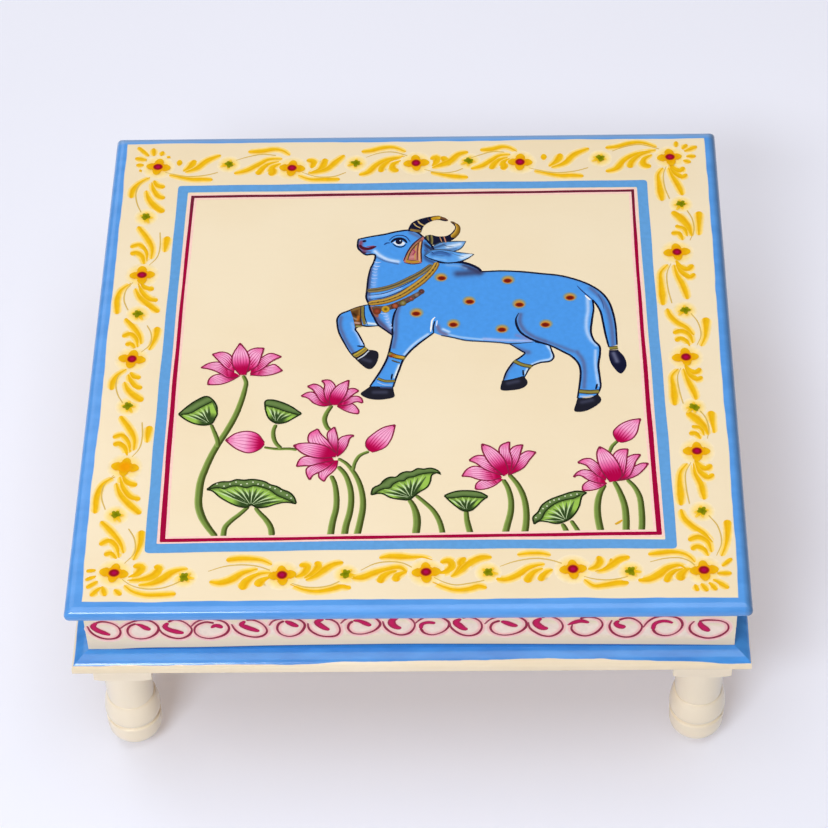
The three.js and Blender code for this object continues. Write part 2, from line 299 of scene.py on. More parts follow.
class Paint:
    """Brushwork gathered into one piece, each mark in its coat and a hair above the last."""

    def __init__(self, name, slot, on_front=False):
        self.name, self.slot, self.on_front = name, slot, on_front
        self.points, self.faces, self.tints = [], [], []
        self.count = 0
        self.marks = 0

    def lay(self, flat, faces, tints, coat):
        """Adds one mark: its places, their faces, and a colour and a coat for all or for each."""
        flat = np.asarray(flat)
        lift = np.zeros(len(flat)) + coat + self.marks % HAIRS / HAIRS
        self.marks += 1
        if self.on_front:
            place = np.column_stack([flat[:, 0], -APRON_PAINT - lift * COAT, flat[:, 1]])
        else:
            place = np.column_stack([flat, FACE_LEVEL + (1 + lift) * COAT])
        self.points.append(place)
        self.faces += [tuple(self.count + i for i in face) for face in faces]
        self.tints.append(np.broadcast_to(np.asarray(tints, float), (len(flat), 3)))
        self.count += len(flat)

    def fill(self, edge, tint, coat, grain=BROAD_GRAIN):
        """A filled outline. tint is a colour, or gives the colours of an array of places."""
        low, high = edge.min(axis=0), edge.max(axis=0)
        inner = []
        for k, y in enumerate(np.arange(low[1], high[1], grain * GRAIN_ROW_SHARE)):
            inner += [(x, y) for x in np.arange(low[0] + (k % 2) * grain / 2, high[0], grain)]
        inner = np.array(inner).reshape(-1, 2)
        inner = inner[inside(inner, edge)]
        inner = inner[away(inner, np.vstack([edge, edge[:1]])) > grain * GRAIN_CLEAR_SHARE]
        spots = np.vstack([edge, inner]) / MM
        ring = [(i, (i + 1) % len(edge)) for i in range(len(edge))]
        made = delaunay_2d_cdt([Vector(p) for p in spots], ring, [], 1, MERGE_MM)
        flat = np.array([tuple(v) for v in made[0]]) * MM
        self.lay(flat, made[2], tint(flat) if callable(tint) else tint, coat)

    def stroke(self, points, widths, tint, coat, across=None, blunt=False):
        """One brush stroke. widths and tint's colours are spaced evenly along it, across's from its left."""
        line = spline(points)
        run = np.concatenate([[0], np.cumsum(np.linalg.norm(np.diff(line, axis=0), axis=1))])
        length = run[-1]
        widths = np.atleast_1d(np.asarray(widths, float))

        def half(at):
            return np.interp(at / length, np.linspace(0, 1, len(widths)), widths) / 2

        stations = list(np.linspace(0, length, max(LEAST_STATIONS, math.ceil(length / STATION_STEP))))
        for share in END_SHARES:
            stations += [share * half(0), length - share * half(length)]
        at = np.unique(np.clip(stations, 0, length))
        line = np.column_stack([np.interp(at, run, line[:, k]) for k in range(2)])
        reach = half(at)
        if not blunt:
            for gap in (at, length - at):
                share = np.clip(gap / np.maximum(reach, LEAST_REACH), 0, 1)
                reach = reach * np.sqrt(np.maximum(1 - (1 - share) ** 2, 0))
        way = np.gradient(line, axis=0)
        way /= np.maximum(np.linalg.norm(way, axis=1), NONZERO)[:, None]
        aside = np.column_stack([-way[:, 1], way[:, 0]])
        size = PLAIN_SAMPLES if across is None else 2 * len(across) - 1
        places = np.linspace(1, -1, size)
        bend = (np.gradient(way, axis=0) * aside).sum(axis=1) / np.maximum(np.gradient(at), LEAST_STEP)
        room = BEND_ROOM_SHARE / np.maximum(np.outer(bend, np.sign(places)), LEAST_BEND)
        reaches = np.minimum(reach[:, None], room) * places
        flat = (line[:, None] + aside[:, None] * reaches[..., None]).reshape(-1, 2)
        if across is None:
            colours = blend(np.repeat(at / length, size), tint if np.ndim(tint) == 2 else [tint, tint])
        else:
            colours = blend(np.tile((1 - places) / 2, len(at)), across)
        rise = np.repeat(at / length, size) * HAIR_RISE_SHARE / HAIRS
        self.lay(flat, grid_faces(len(at), size), colours, coat + rise)

    def mark(self, points, widths, tint, coat, **how):
        """A stroke on the top, given in photo points and pixels."""
        self.stroke(top(*points), np.asarray(widths) * PX, tint, coat, **how)

    def dot(self, middle, radius, tints, coat, stretch=(1, 1), size=DOT_SIDES):
        """A round dab, its colours from the middle to the rim."""
        stops = np.atleast_2d(tints)
        stops = stops if len(stops) > 1 else np.vstack([stops, stops])
        turn = np.linspace(0, 2 * math.pi, size, endpoint=False)
        rim = np.column_stack([np.cos(turn) * stretch[0], np.sin(turn) * stretch[1]]) * radius
        shares = np.linspace(0, 1, len(stops))[1:]
        flat = np.vstack([np.zeros((1, 2))] + [rim * share for share in shares]) + middle
        faces = [(0, 1 + i, 1 + (i + 1) % size) for i in range(size)]
        for r in range(len(shares) - 1):
            for i in range(size):
                a, b = 1 + r * size + i, 1 + r * size + (i + 1) % size
                faces.append((a, a + size, b + size, b))
        self.lay(flat, faces, np.vstack([stops[:1], np.repeat(stops[1:], size, axis=0)]), coat)

    def piece(self, material, turn=0):
        """The brushwork as an object, turned by quarter turns about the table's middle."""
        place = np.vstack(self.points)
        for _ in range(turn):
            place = np.column_stack([-place[:, 1], place[:, 0], place[:, 2]])
        name = f"{self.name}_{SIDES[turn]}" if self.on_front else self.name
        obj = piece(name, place, self.faces, material, self.slot)
        tints = obj.data.color_attributes.new("tint", "FLOAT_COLOR", "POINT")
        rgba = np.column_stack([linear(np.vstack(self.tints)), np.ones(len(place))])
        tints.data.foreach_set("color", rgba.astype(np.float32).ravel())
        return obj


def grid_faces(rows, size):
    """The faces between rows of points, each row size long."""
    corners = [(r * size + c, (r + 1) * size + c) for r in range(rows - 1) for c in range(size - 1)]
    return [(low, high, high + 1, low + 1) for low, high in corners]


def piece(name, points, faces, material, slot, sharp=None):
    """A mesh object that rides on the table's one body."""
    mesh = bpy.data.meshes.new(name)
    mesh.from_pydata([tuple(map(float, p)) for p in points], [], faces)
    mesh.update()
    if sharp is not None:
        mesh.shade_smooth()
        mesh.set_sharp_from_angle(angle=math.radians(sharp))
    mesh.materials.append(material)
    obj = bpy.data.objects.new(name, mesh)
    bpy.context.scene.collection.objects.link(obj)
    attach(obj, "root")
    return obj


# Materials. Depths of relief in metres, angles past which an edge is sharp in degrees.

GLOSS_ROUGHNESS = 0.12
PAINT_DEPTH = 0.00005
BOARD_DEPTH = 0.00008
FLOOR_GLOW = (0.242, 0.196, 0.178, 1)
BOARD_SHARP = 40
STRIP_SHARP = 35
LEG_SHARP = 32


class Nodes:
    """A material's node tree, built up by short calls."""

    def __init__(self, name, roughness, gloss=0.0, specular=0.5, metallic=0.0):
        self.material = bpy.data.materials.new(name)
        self.material.use_nodes = True
        self.tree = self.material.node_tree
        self.shader = self.tree.nodes["Principled BSDF"]
        self.shader.inputs["Roughness"].default_value = roughness
        self.shader.inputs["Metallic"].default_value = metallic
        self.shader.inputs["Specular IOR Level"].default_value = specular
        self.shader.inputs["Coat Weight"].default_value = gloss
        self.shader.inputs["Coat Roughness"].default_value = GLOSS_ROUGHNESS
        self.place = self.tree.nodes.new("ShaderNodeTexCoord").outputs["Object"]

    def link(self, source, socket):
        """Sets a socket to a number, a colour or another node's output."""
        if isinstance(source, (int, float)):
            socket.default_value = source
        elif isinstance(source, tuple):
            socket.default_value = (*linear(source), 1.0)
        else:
            self.tree.links.new(source, socket)

    def noise(self, scale, detail=3.0, stretch=(1, 1, 1)):
        mapping = self.tree.nodes.new("ShaderNodeMapping")
        mapping.inputs["Scale"].default_value = stretch
        self.tree.links.new(self.place, mapping.inputs["Vector"])
        node = self.tree.nodes.new("ShaderNodeTexNoise")
        node.inputs["Scale"].default_value = scale
        node.inputs["Detail"].default_value = detail
        self.tree.links.new(mapping.outputs["Vector"], node.inputs["Vector"])
        return node.outputs["Fac"]

    def math(self, kind, a, b=0.0):
        node = self.tree.nodes.new("ShaderNodeMath")
        node.operation = kind
        self.link(a, node.inputs[0])
        self.link(b, node.inputs[1])
        return node.outputs[0]

    def axis(self, k):
        node = self.tree.nodes.new("ShaderNodeSeparateXYZ")
        self.tree.links.new(self.place, node.inputs[0])
        return node.outputs[k]

    def span(self, source, low, high, to_low=0.0, to_high=1.0):
        """A value between low and high, brought to between the other two."""
        node = self.tree.nodes.new("ShaderNodeMapRange")
        for socket, value in zip(node.inputs[:5], (source, low, high, to_low, to_high)):
            self.link(value, socket)
        return node.outputs[0]

    def mix(self, share, a, b, kind="MIX"):
        node = self.tree.nodes.new("ShaderNodeMix")
        node.data_type = "RGBA"
        node.blend_type = kind
        self.link(share, node.inputs[0])
        self.link(a, node.inputs[6])
        self.link(b, node.inputs[7])
        return node.outputs[2]

    def finish(self, colour, height=None, depth=PAINT_DEPTH):
        self.link(colour, self.shader.inputs["Base Color"])
        if height is not None:
            bump = self.tree.nodes.new("ShaderNodeBump")
            bump.inputs["Strength"].default_value = 1.0
            bump.inputs["Distance"].default_value = depth
            self.link(height, bump.inputs["Height"])
            for socket in ("Normal", "Coat Normal"):
                self.tree.links.new(bump.outputs["Normal"], self.shader.inputs[socket])
        return self.material

    def curve(self, source, points):
        """A value read off a curve through points of 0 to 1."""
        node = self.tree.nodes.new("ShaderNodeFloatCurve")
        line = node.mapping.curves[0]
        line.points[0].location, line.points[1].location = points[0], points[-1]
        for spot in points[1:-1]:
            line.points.new(*spot)
        node.mapping.update()
        self.link(source, node.inputs["Value"])
        return node.outputs["Value"]

    def square(self):
        """The larger of the distances from the table's two middle planes."""
        across = self.math("ABSOLUTE", self.axis(0))
        return self.math("MAXIMUM", across, self.math("ABSOLUTE", self.axis(1)))

    def cream(self, base=CREAM, warm=CREAM_WARM):
        """Cream in broad warm patches, dragged along x."""
        patches = self.span(self.noise(9, 4), 0.35, 0.75)
        drag = self.span(self.noise(60, 3, (0.15, 1, 1)), 0.3, 0.8, 0, 0.35)
        return self.mix(drag, self.mix(patches, base, warm), base)

    def blue(self, base=BLUE, deep=BLUE_DEEP):
        """Blue streaked along x."""
        streaks = self.span(self.noise(150, 4, (0.3, 1, 1)), 0.35, 0.7)
        return self.mix(streaks, base, deep)


def board_material():
    """Cream on the face, blue round the edge, paler at the back as a painted sheen and darker at the right
    as painted shade, bare wood below.
    """
    wobble_reach, blue_start, blue_end = 0.0005, 0.1464, 0.1467
    front_start, front_end, front_widening = -0.12, -0.15, 0.0009
    sheen_start, sheen_end, sheen_share = 0.1465, 0.149, 0.5
    shade_start, shade_end, shade_share = 0.1485, 0.1515, 0.65
    bare_top, bare_foot, bare_start, bare_end = 0.1112, 0.1111, 0.1442, 0.144
    n = Nodes("board_paint", roughness=0.34, gloss=0.6, specular=0.2)
    wobble = n.span(n.noise(30, 2), 0.3, 0.7, -wobble_reach, wobble_reach)
    wider_at_front = n.span(n.axis(1), front_start, front_end, 0, front_widening)
    out = n.math("ADD", n.square(), n.math("ADD", wobble, wider_at_front))
    edge = n.span(out, blue_start, blue_end)
    under = n.span(n.axis(2), bare_foot, bare_top, 1, 0)
    inner = n.span(n.square(), bare_end, bare_start, 1, 0)
    # Painted sheen: the blue made paler along the back edge.
    blue = n.mix(n.span(n.axis(1), sheen_start, sheen_end, 0, sheen_share), n.blue(), BLUE_PAINTED_SHEEN)
    # Painted shade: the blue made darker along the right edge.
    blue = n.mix(n.span(n.axis(0), shade_start, shade_end, 0, shade_share), blue, BLUE_PAINTED_SHADE)
    painted = n.mix(edge, n.cream(), blue)
    bare = n.math("MULTIPLY", under, inner)
    return n.finish(n.mix(bare, painted, BOARD_WOOD), n.noise(220, 3, (0.4, 1, 1)), BOARD_DEPTH)


# Where the rails' blue ends: how far along the side and how high, in mm.
RAIL_PAINT_LINE = [
    (-154, 80.2), (-130, 80.1), (-95, 80.2), (-50, 80.15), (-32, 80.7), (-9, 80.9), (36, 81.05),
    (54, 81.3), (90, 81.0), (117, 80.4), (131, 80.05), (144, 79.5), (154, 79.4),
]


def rail_material():
    """Blue moulding, cream below it and inside."""
    low, high, wobble_reach, band_blur = 0.078, 0.082, 0.0002, 0.0001
    bare_top, bare_foot = 0.0754, 0.0752
    n = Nodes("rail_paint", roughness=0.3, gloss=0.7, specular=0.2)
    wobble = n.span(n.noise(60, 3), 0.3, 0.7, -wobble_reach, wobble_reach)
    reach = RAIL_HALF / MM
    dips = [((x + reach) / (2 * reach), (z - low / MM) / ((high - low) / MM)) for x, z in RAIL_PAINT_LINE]
    foot = n.span(n.curve(n.span(n.axis(0), -RAIL_HALF, RAIL_HALF), dips), 0, 1, low, high)
    band = n.span(n.math("SUBTRACT", n.math("ADD", n.axis(2), wobble), foot), 0, band_blur)
    under = n.span(n.axis(2), bare_foot, bare_top, 1, 0)
    painted = n.mix(band, n.cream(LEG_CREAM, CREAM_WARM), n.blue(RAIL_BLUE, RAIL_DEEP))
    return n.finish(n.mix(under, painted, RAIL_WOOD), n.noise(160, 3))


def cream_material(name, base, gloss, warmth=6):
    """Cream paint, its warm patches darker by the warmth."""
    n = Nodes(name, roughness=0.34, gloss=gloss)
    return n.finish(n.cream(base, tuple(c - warmth for c in base)), n.noise(140, 3))


def brush_material():
    """Every mark's own colour, a little uneven as a loaded brush leaves it."""
    n = Nodes("brush_paint", roughness=0.5, specular=0.03)
    tint = n.tree.nodes.new("ShaderNodeAttribute")
    tint.attribute_name = "tint"
    uneven = n.span(n.noise(420, 3), 0.3, 0.75, 0.94, 1.04)
    grey = n.tree.nodes.new("ShaderNodeCombineXYZ")
    for socket in grey.inputs:
        n.link(uneven, socket)
    colour = n.mix(1.0, tint.outputs["Color"], grey.outputs[0], "MULTIPLY")
    return n.finish(colour, n.noise(500, 3))


def wood_material():
    along_grain = (0.12, 1, 1)
    n = Nodes("raw_wood", roughness=0.7)
    grain = n.span(n.noise(90, 5, along_grain), 0.3, 0.75)
    return n.finish(n.mix(grain, WOOD_PALE, WOOD_DARK), n.noise(200, 4, along_grain))


def steel_material():
    n = Nodes("steel", roughness=0.32, metallic=1.0)
    wear = n.span(n.noise(800, 3), 0.3, 0.7)
    return n.finish(n.mix(wear, STEEL_PALE, STEEL_DARK), n.noise(900, 2))


def floor_material():
    """A pale floor that keeps a soft shadow. Seen directly it is cooler and glows faintly."""
    n = Nodes("floor", roughness=0.75, specular=0.1)
    path = n.tree.nodes.new("ShaderNodeLightPath").outputs
    through = n.math("MAXIMUM", path["Is Glossy Ray"], path["Is Transmission Ray"])
    seen = n.math("MAXIMUM", path["Is Camera Ray"], through)
    mottle = n.span(n.noise(3, 2), 0.3, 0.7)
    n.shader.inputs["Emission Color"].default_value = FLOOR_GLOW
    n.tree.links.new(seen, n.shader.inputs["Emission Strength"])
    unseen_tint, seen_tint = n.mix(mottle, *FLOOR_UNSEEN), n.mix(mottle, *FLOOR_SEEN)
    return n.finish(n.mix(seen, unseen_tint, seen_tint))


# The carpentry.


def quarter(x, y, along_x, along_y, count=10):
    """Points on a quarter of an ellipse about (x, y), from out along x to up along y."""
    turns = np.linspace(0, math.pi / 2, count)
    return [(x + along_x * math.cos(t), y + along_y * math.sin(t)) for t in turns]


def square_loop(half, radius, count=8):
    """A square outline with round corners."""
    points = []
    reach = (half - radius) * math.sqrt(2)
    for corner in range(4):
        middle = (0.25 + corner / 2) * math.pi
        for i in range(count + 1):
            turn = (corner + i / count) * math.pi / 2
            x = reach * math.cos(middle) + radius * math.cos(turn)
            y = reach * math.sin(middle) + radius * math.sin(turn)
            points.append((x, y))
    return points


def loft(rings):
    """Rings of equal length skinned from the lowest to the highest, both ends closed."""
    size = len(rings[0])
    points = [p for ring in rings for p in ring]
    faces = [tuple(reversed(range(size))), tuple(range(len(points) - size, len(points)))]
    for r in range(len(rings) - 1):
        for i in range(size):
            a, b = r * size + i, r * size + (i + 1) % size
            faces.append((a, b, b + size, a + size))
    return points, faces


def board(material):
    """The top board: a plank with a full upper edge and a small lower one, a bit wide at the front left."""
    widening = 0.0012 / TOP_HALF
    corner, upper_reach, upper_drop, lower_reach, lower_rise = 0.0022, 0.0045, 0.0039, 0.0042, 0.0036
    widest = FACE_LEVEL - upper_drop
    lower = quarter(0, BOARD_LEVEL + lower_rise, lower_reach, -lower_rise)
    profile = [(lower_reach - x, z) for x, z in reversed(lower)]
    profile += [(upper_reach - x, z) for x, z in quarter(0, widest, upper_reach, upper_drop, 16)]
    rings = []
    for inset, level in profile:
        ring = square_loop(TOP_HALF - inset, max(corner - inset / 2, corner / 4))
        shares = [widening * (1 - y / TOP_HALF) / 2 if x < 0 else 0 for x, y in ring]
        rings.append([(x * (1 + share), y, level) for (x, y), share in zip(ring, shares)])
    obj = piece("painted_board", *loft(rings), material, "cream_paint", sharp=BOARD_SHARP)
    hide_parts("top_board")


def mitred(name, section, turn, material, slot):
    """A strip of one side of a square frame. section is (distance out, height) round its outline."""
    rings = [[(end * out, -out, level) for out, level in section] for end in (-1, 1)]
    points, faces = loft(rings)
    for _ in range(turn):
        points = [(-y, x, z) for x, y, z in points]
    return piece(name, points, faces, material, slot, sharp=STRIP_SHARP)


def apron_section():
    round_off = 0.0003
    return [
        (APRON_INNER, APRON_LEVEL),
        (APRON_HALF - round_off, APRON_LEVEL),
        (APRON_HALF, APRON_LEVEL + round_off),
        (APRON_HALF, BOARD_LEVEL),
        (APRON_INNER, BOARD_LEVEL),
    ]


def rail_section():
    """A flat rail with a sloping, rounded upper edge."""
    reach, drop, flat_share, foot_round, seat_gap = 0.0075, 0.005, 0.45, 0.00075, 0.0001
    under = RAIL_LEVEL + seat_gap
    foot = quarter(RAIL_HALF - foot_round, under + foot_round, foot_round, -foot_round, 5)
    section = [(RAIL_INNER, under), *reversed(foot)]
    for out, rise in quarter(0, 0, reach, drop, 14):
        fall = (1 - flat_share) * (drop - rise) + flat_share * drop * out / reach
        section.append((RAIL_HALF - reach + out, APRON_LEVEL - fall))
    section.append((RAIL_INNER, APRON_LEVEL))
    return section


def leg_profile():
    """(radius, height) up a turned leg, its pad last. The values are in mm until the end."""
    foot, foot_edge, flare, girth, firmness = 5.6, 0.5, 0.86, 12.9, 14
    bowl_start, bowl_rise, lip = 0.4, 17.4, 0.9
    groove, groove_level, groove_foot, groove_top = 11.6, 19.2, (0.05, -0.4), (0.25, 0.5)
    bulb, bulb_level, bulb_reach, bulb_rise = 13.1, 22.8, 1.3, 3.0
    crown, crown_level, crown_rise, slope_share = 10.9, 23.4, 10.0, 0.3
    neck, neck_start_share, neck_rise, neck_top, neck_power = 10.9, 0.04, 25.8, 11.3, 0.6
    shoulder_drop, pad_reach, pad_clear, pad_level, pad_start, pad_top = 2.2, 19.84, 0.06, 61.2, 61.7, 74.9
    points = [(0.0, 0.0), (foot - foot_edge, 0.0)]
    for level in np.linspace(bowl_start, bowl_rise, 22):
        spread = foot + flare * level
        points.append(((spread**-firmness + girth**-firmness) ** (-1 / firmness), level))
    points += quarter(girth - lip, bowl_rise, lip, lip, 7)[1:]
    for out, up in (groove_foot, (0, 0), groove_top):
        points.append((groove + out, groove_level + up))
    points += reversed(quarter(bulb - bulb_reach, bulb_level, bulb_reach, -bulb_rise, 8))
    neck_level = crown_level + crown_rise
    for radius, level in quarter(crown, crown_level, bulb - crown, crown_rise, 16):
        slope = crown + (bulb - crown) * (neck_level - level) / crown_rise
        points.append((radius + (slope - radius) * slope_share, level))
    for share in np.linspace(neck_start_share, 1, 14):
        points.append((neck + (neck_top - neck) * share**neck_power, neck_level + neck_rise * share))
    points += reversed(quarter(neck_top, pad_level, pad_reach - neck_top, -shoulder_drop, 26))
    points += [(pad_reach + pad_clear, level) for level in np.linspace(pad_start, pad_top, 6)]
    points.append((0.0, pad_top))
    return [(r * MM, z * MM) for r, z in points]


def leg(corner, material):
    """A turned leg on its pad, the turning cut to the pad's square wherever it reaches past it."""
    pad_half, squareness, turns, least_radius = 0.0135, 44, 132, 1e-5
    x, y = (LEG_PLACE * side for side in CORNERS[corner])
    rings = []
    for radius, level in leg_profile():
        ring = []
        for i in range(turns):
            t = 2 * math.pi * (i + 0.5) / turns
            c, s = abs(math.cos(t)), abs(math.sin(t))
            square = pad_half / (c**squareness + s**squareness) ** (1 / squareness)
            r = max(min(radius, square), least_radius)
            ring.append((x + r * math.cos(t), y + r * math.sin(t), level))
        rings.append(ring)
    obj = piece(f"turned_leg_{corner}", *loft(rings), material, "cream_paint", sharp=LEG_SHARP)
    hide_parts(f"leg_{corner}")


def carpentry():
    board(board_material())
    apron_paint = cream_material("apron_paint", APRON_CREAM, 0.15)
    rail_paint = rail_material()
    for turn, side in enumerate(SIDES):
        apron = mitred(f"painted_apron_{side}", apron_section(), turn, apron_paint, "cream_paint")
        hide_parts(f"apron_{side}")
        rail = mitred(f"moulded_rail_{side}", rail_section(), turn, rail_paint, "blue_paint")
        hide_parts(f"base_rail_{side}")
    leg_paint = cream_material("leg_paint", LEG_CREAM, 0.7)
    for corner in CORNERS:
        leg(corner, leg_paint)
    steel, wood = steel_material(), wood_material()
    for name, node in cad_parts.items():
        material = steel if "screw" in name or "pin" in name else wood
        if not node.material_slots:
            node.data.materials.append(material)
        for socket in node.material_slots:
            socket.link = "OBJECT"
            socket.material = material


# The stage, the camera and the lights.

CLIP = (0.05, 50)


def stage():
    """A wide floor under the feet."""
    reach = 6.0
    corners = [(-reach, -reach, 0), (reach, -reach, 0), (reach, reach, 0), (-reach, reach, 0)]
    mesh = bpy.data.meshes.new("floor")
    mesh.from_pydata(corners, [], [(0, 1, 2, 3)])
    mesh.materials.append(floor_material())
    floor = bpy.data.objects.new("floor", mesh)
    bpy.context.scene.collection.objects.link(floor)


def camera():
    data = bpy.data.cameras.new("camera")
    data.sensor_fit = "HORIZONTAL"
    data.sensor_width = SENSOR_MM
    data.lens = FOCAL_PX / PHOTO_SIDE * SENSOR_MM
    data.clip_start, data.clip_end = CLIP
    data.dof.use_dof = False
    obj = bpy.data.objects.new("camera", data)
    place = Matrix.Identity(4)
    for k, direction in enumerate((RIGHT, UP, -FORWARD, CAMERA_PLACE)):
        place.col[k] = (*direction, 1.0 if k == 3 else 0.0)
    obj.matrix_world = place
    bpy.context.scene.collection.objects.link(obj)
    bpy.context.scene.camera = obj


# A big soft light overhead, a broad key at the front left and a weak light behind: place, width and depth in
# metres, and watts.
LIGHTS = {
    "overhead": ((0, -0.2, 2.6), 2.4, 2.4, 42),
    "key": ((-0.8, -1.8, 1.9), 1.0, 0.5, 34.0),
    "behind": ((-1.4, 1.8, 2.0), 1.5, 1.5, 10.0),
}
LIGHT_AIM = (0, 0, 0.1)
WORLD_STRENGTH = 0.15


def area(name, place, width, depth, watts):
    data = bpy.data.lights.new(name, "AREA")
    data.shape, data.size, data.size_y, data.energy = "RECTANGLE", width, depth, watts
    obj = bpy.data.objects.new(name, data)
    obj.location = place
    obj.rotation_euler = (Vector(LIGHT_AIM) - Vector(place)).to_track_quat("-Z", "Y").to_euler()
    bpy.context.scene.collection.objects.link(obj)


def lights():
    world = bpy.data.worlds.new("studio")
    world.use_nodes = True
    background = world.node_tree.nodes["Background"]
    background.inputs["Color"].default_value = (1, 1, 1, 1)
    background.inputs["Strength"].default_value = WORLD_STRENGTH
    bpy.context.scene.world = world
    for name, light in LIGHTS.items():
        area(name, *light)


def colours():
    view = bpy.context.scene.view_settings
    view.view_transform = "Standard"


# The frames and the border.

OUTWARD = ((0, 1), (1, 0), (0, -1), (-1, 0))
FRAME_CORNERS = [(-0.1187, 0.1163), (0.1165, 0.1170), (0.1205, -0.1181), (-0.1196, -0.1184)]
FRAME_SHIFTS = [(0.0050, -0.0048), (-0.0052, -0.0050), (-0.0052, 0.0052), (0.0051, 0.0052)]
FRAME_BOWS = (0, -0.0002, -0.0008, 0.0005)
FRAME_WOBBLE = 0.00012
PIN_CORNERS = [(-0.1118, 0.1092), (0.1098, 0.1104), (0.1140, -0.1102), (-0.1131, -0.1122)]
PIN_SHIFTS = [(0.0016, -0.0017), (-0.0014, -0.0017), (-0.0025, 0.0019), (0.0024, 0.0019)]
PIN_BOWS = (-0.0001, -0.0006, 0, 0.0009)
PIN_WOBBLE = 0.0001
PIN_HALO = 0.0012
PIN_DARK_START = 0.03
PIN_DARK_REACH = 0.08
WAVE_SPREAD = 1.7


def rounded(corners, radius, bows, per_side=60, per_corner=6):
    """A loop round four corners, each rounded off, its sides bowed outwards."""
    loop = []
    c = np.asarray(corners, float)
    for k in range(4):
        before, at, after = c[k - 1], c[k], c[(k + 1) % 4]
        a = at + (before - at) / np.linalg.norm(before - at) * radius
        b = at + (after - at) / np.linalg.norm(after - at) * radius
        for t in np.linspace(0, 1, per_corner):
            loop.append((1 - t) ** 2 * a + 2 * t * (1 - t) * at + t**2 * b)
        end = after + (at - after) / np.linalg.norm(at - after) * radius
        for t in np.linspace(0, 1, per_side)[1:-1]:
            loop.append(b + t * (end - b) + 4 * t * (1 - t) * bows[k] * np.array(OUTWARD[k]))
    return np.array(loop)


def wobbled(loop, size, waves=(3, 7, 13, 23)):
    """The loop pushed in and out a little, as a ruling hand does."""
    turn = np.linspace(0, 2 * math.pi, len(loop), endpoint=False)
    push = sum(math.sin(WAVE_SPREAD * w) * np.sin(w * turn + w**2) for w in waves) * size
    out = loop / np.linalg.norm(loop, axis=1)[:, None]
    return loop + out * push[:, None]


def band(paint, outer, shifts, radius, bows, tint, coat, wobble, spread=0.0):
    """A painted square ring. outer's corners start at the back left, and shifts lead to the inner ones."""
    away_from_middle = spread * np.array([(-1, 1), (1, 1), (1, -1), (-1, -1)])
    outside = np.asarray(outer, float) + away_from_middle
    within = np.asarray(outer, float) + shifts - away_from_middle
    loops = [
        wobbled(rounded(outside, radius, bows), wobble),
        wobbled(rounded(within, radius / 3, bows), wobble, (4, 9, 17)),
    ]
    size = len(loops[0])
    faces = [(i, (i + 1) % size, size + (i + 1) % size, size + i) for i in range(size)]
    spots = np.vstack(loops)
    paint.lay(spots, faces, tint(spots) if callable(tint) else tint, coat)


def pin_tint(spots):
    """Crimson, darker towards the back."""
    shares = np.clip((spots[:, 1] - PIN_DARK_START) / PIN_DARK_REACH, 0, 1)
    return blend(shares, [PIN_CRIMSON, PIN_CRIMSON, PIN_DARK])


def frames(material):
    paint = Paint("ruled_frames", "blue_paint")
    halo_round, frame_round, pin_round = 0.0015, 0.0022, 0.0006
    band(paint, PIN_CORNERS, PIN_SHIFTS, halo_round, PIN_BOWS, PIN_MIST, 2, PIN_WOBBLE, PIN_HALO)
    band(paint, FRAME_CORNERS, FRAME_SHIFTS, frame_round, FRAME_BOWS, FRAME_BLUE, 3, FRAME_WOBBLE)
    band(paint, PIN_CORNERS, PIN_SHIFTS, pin_round, PIN_BOWS, pin_tint, 4, PIN_WOBBLE)
    paint.piece(material)


FLOWERS = {
    "back": [(158, 167), (292, 168), (416, 163), (520, 162), (670, 157)],
    "right": [(670, 157), (677, 252), (686, 357), (697, 451), (704, 570)],
    "front": [(114, 573), (282, 575), (426, 572), (573, 569), (704, 570)],
    "left": [(158, 167), (142, 275), (132, 359), (125, 467), (114, 573)],
}
BUDS = {
    "back": [(229, 164), (356, 163), (469, 161), (600, 158)],
    "right": [(681, 204), (685, 310), (694, 407), (702, 511)],
    "front": [(184, 577), (346, 574), (488, 572), (631, 571)],
    "left": [(146, 217), (138, 314), (128, 406), (116, 515)],
}
BUD_LEANS = {"back": (-6, 3), "right": (-5, 6), "front": (9, 0), "left": (5, 6)}
HEARTLESS_FLOWER = (125, 467)

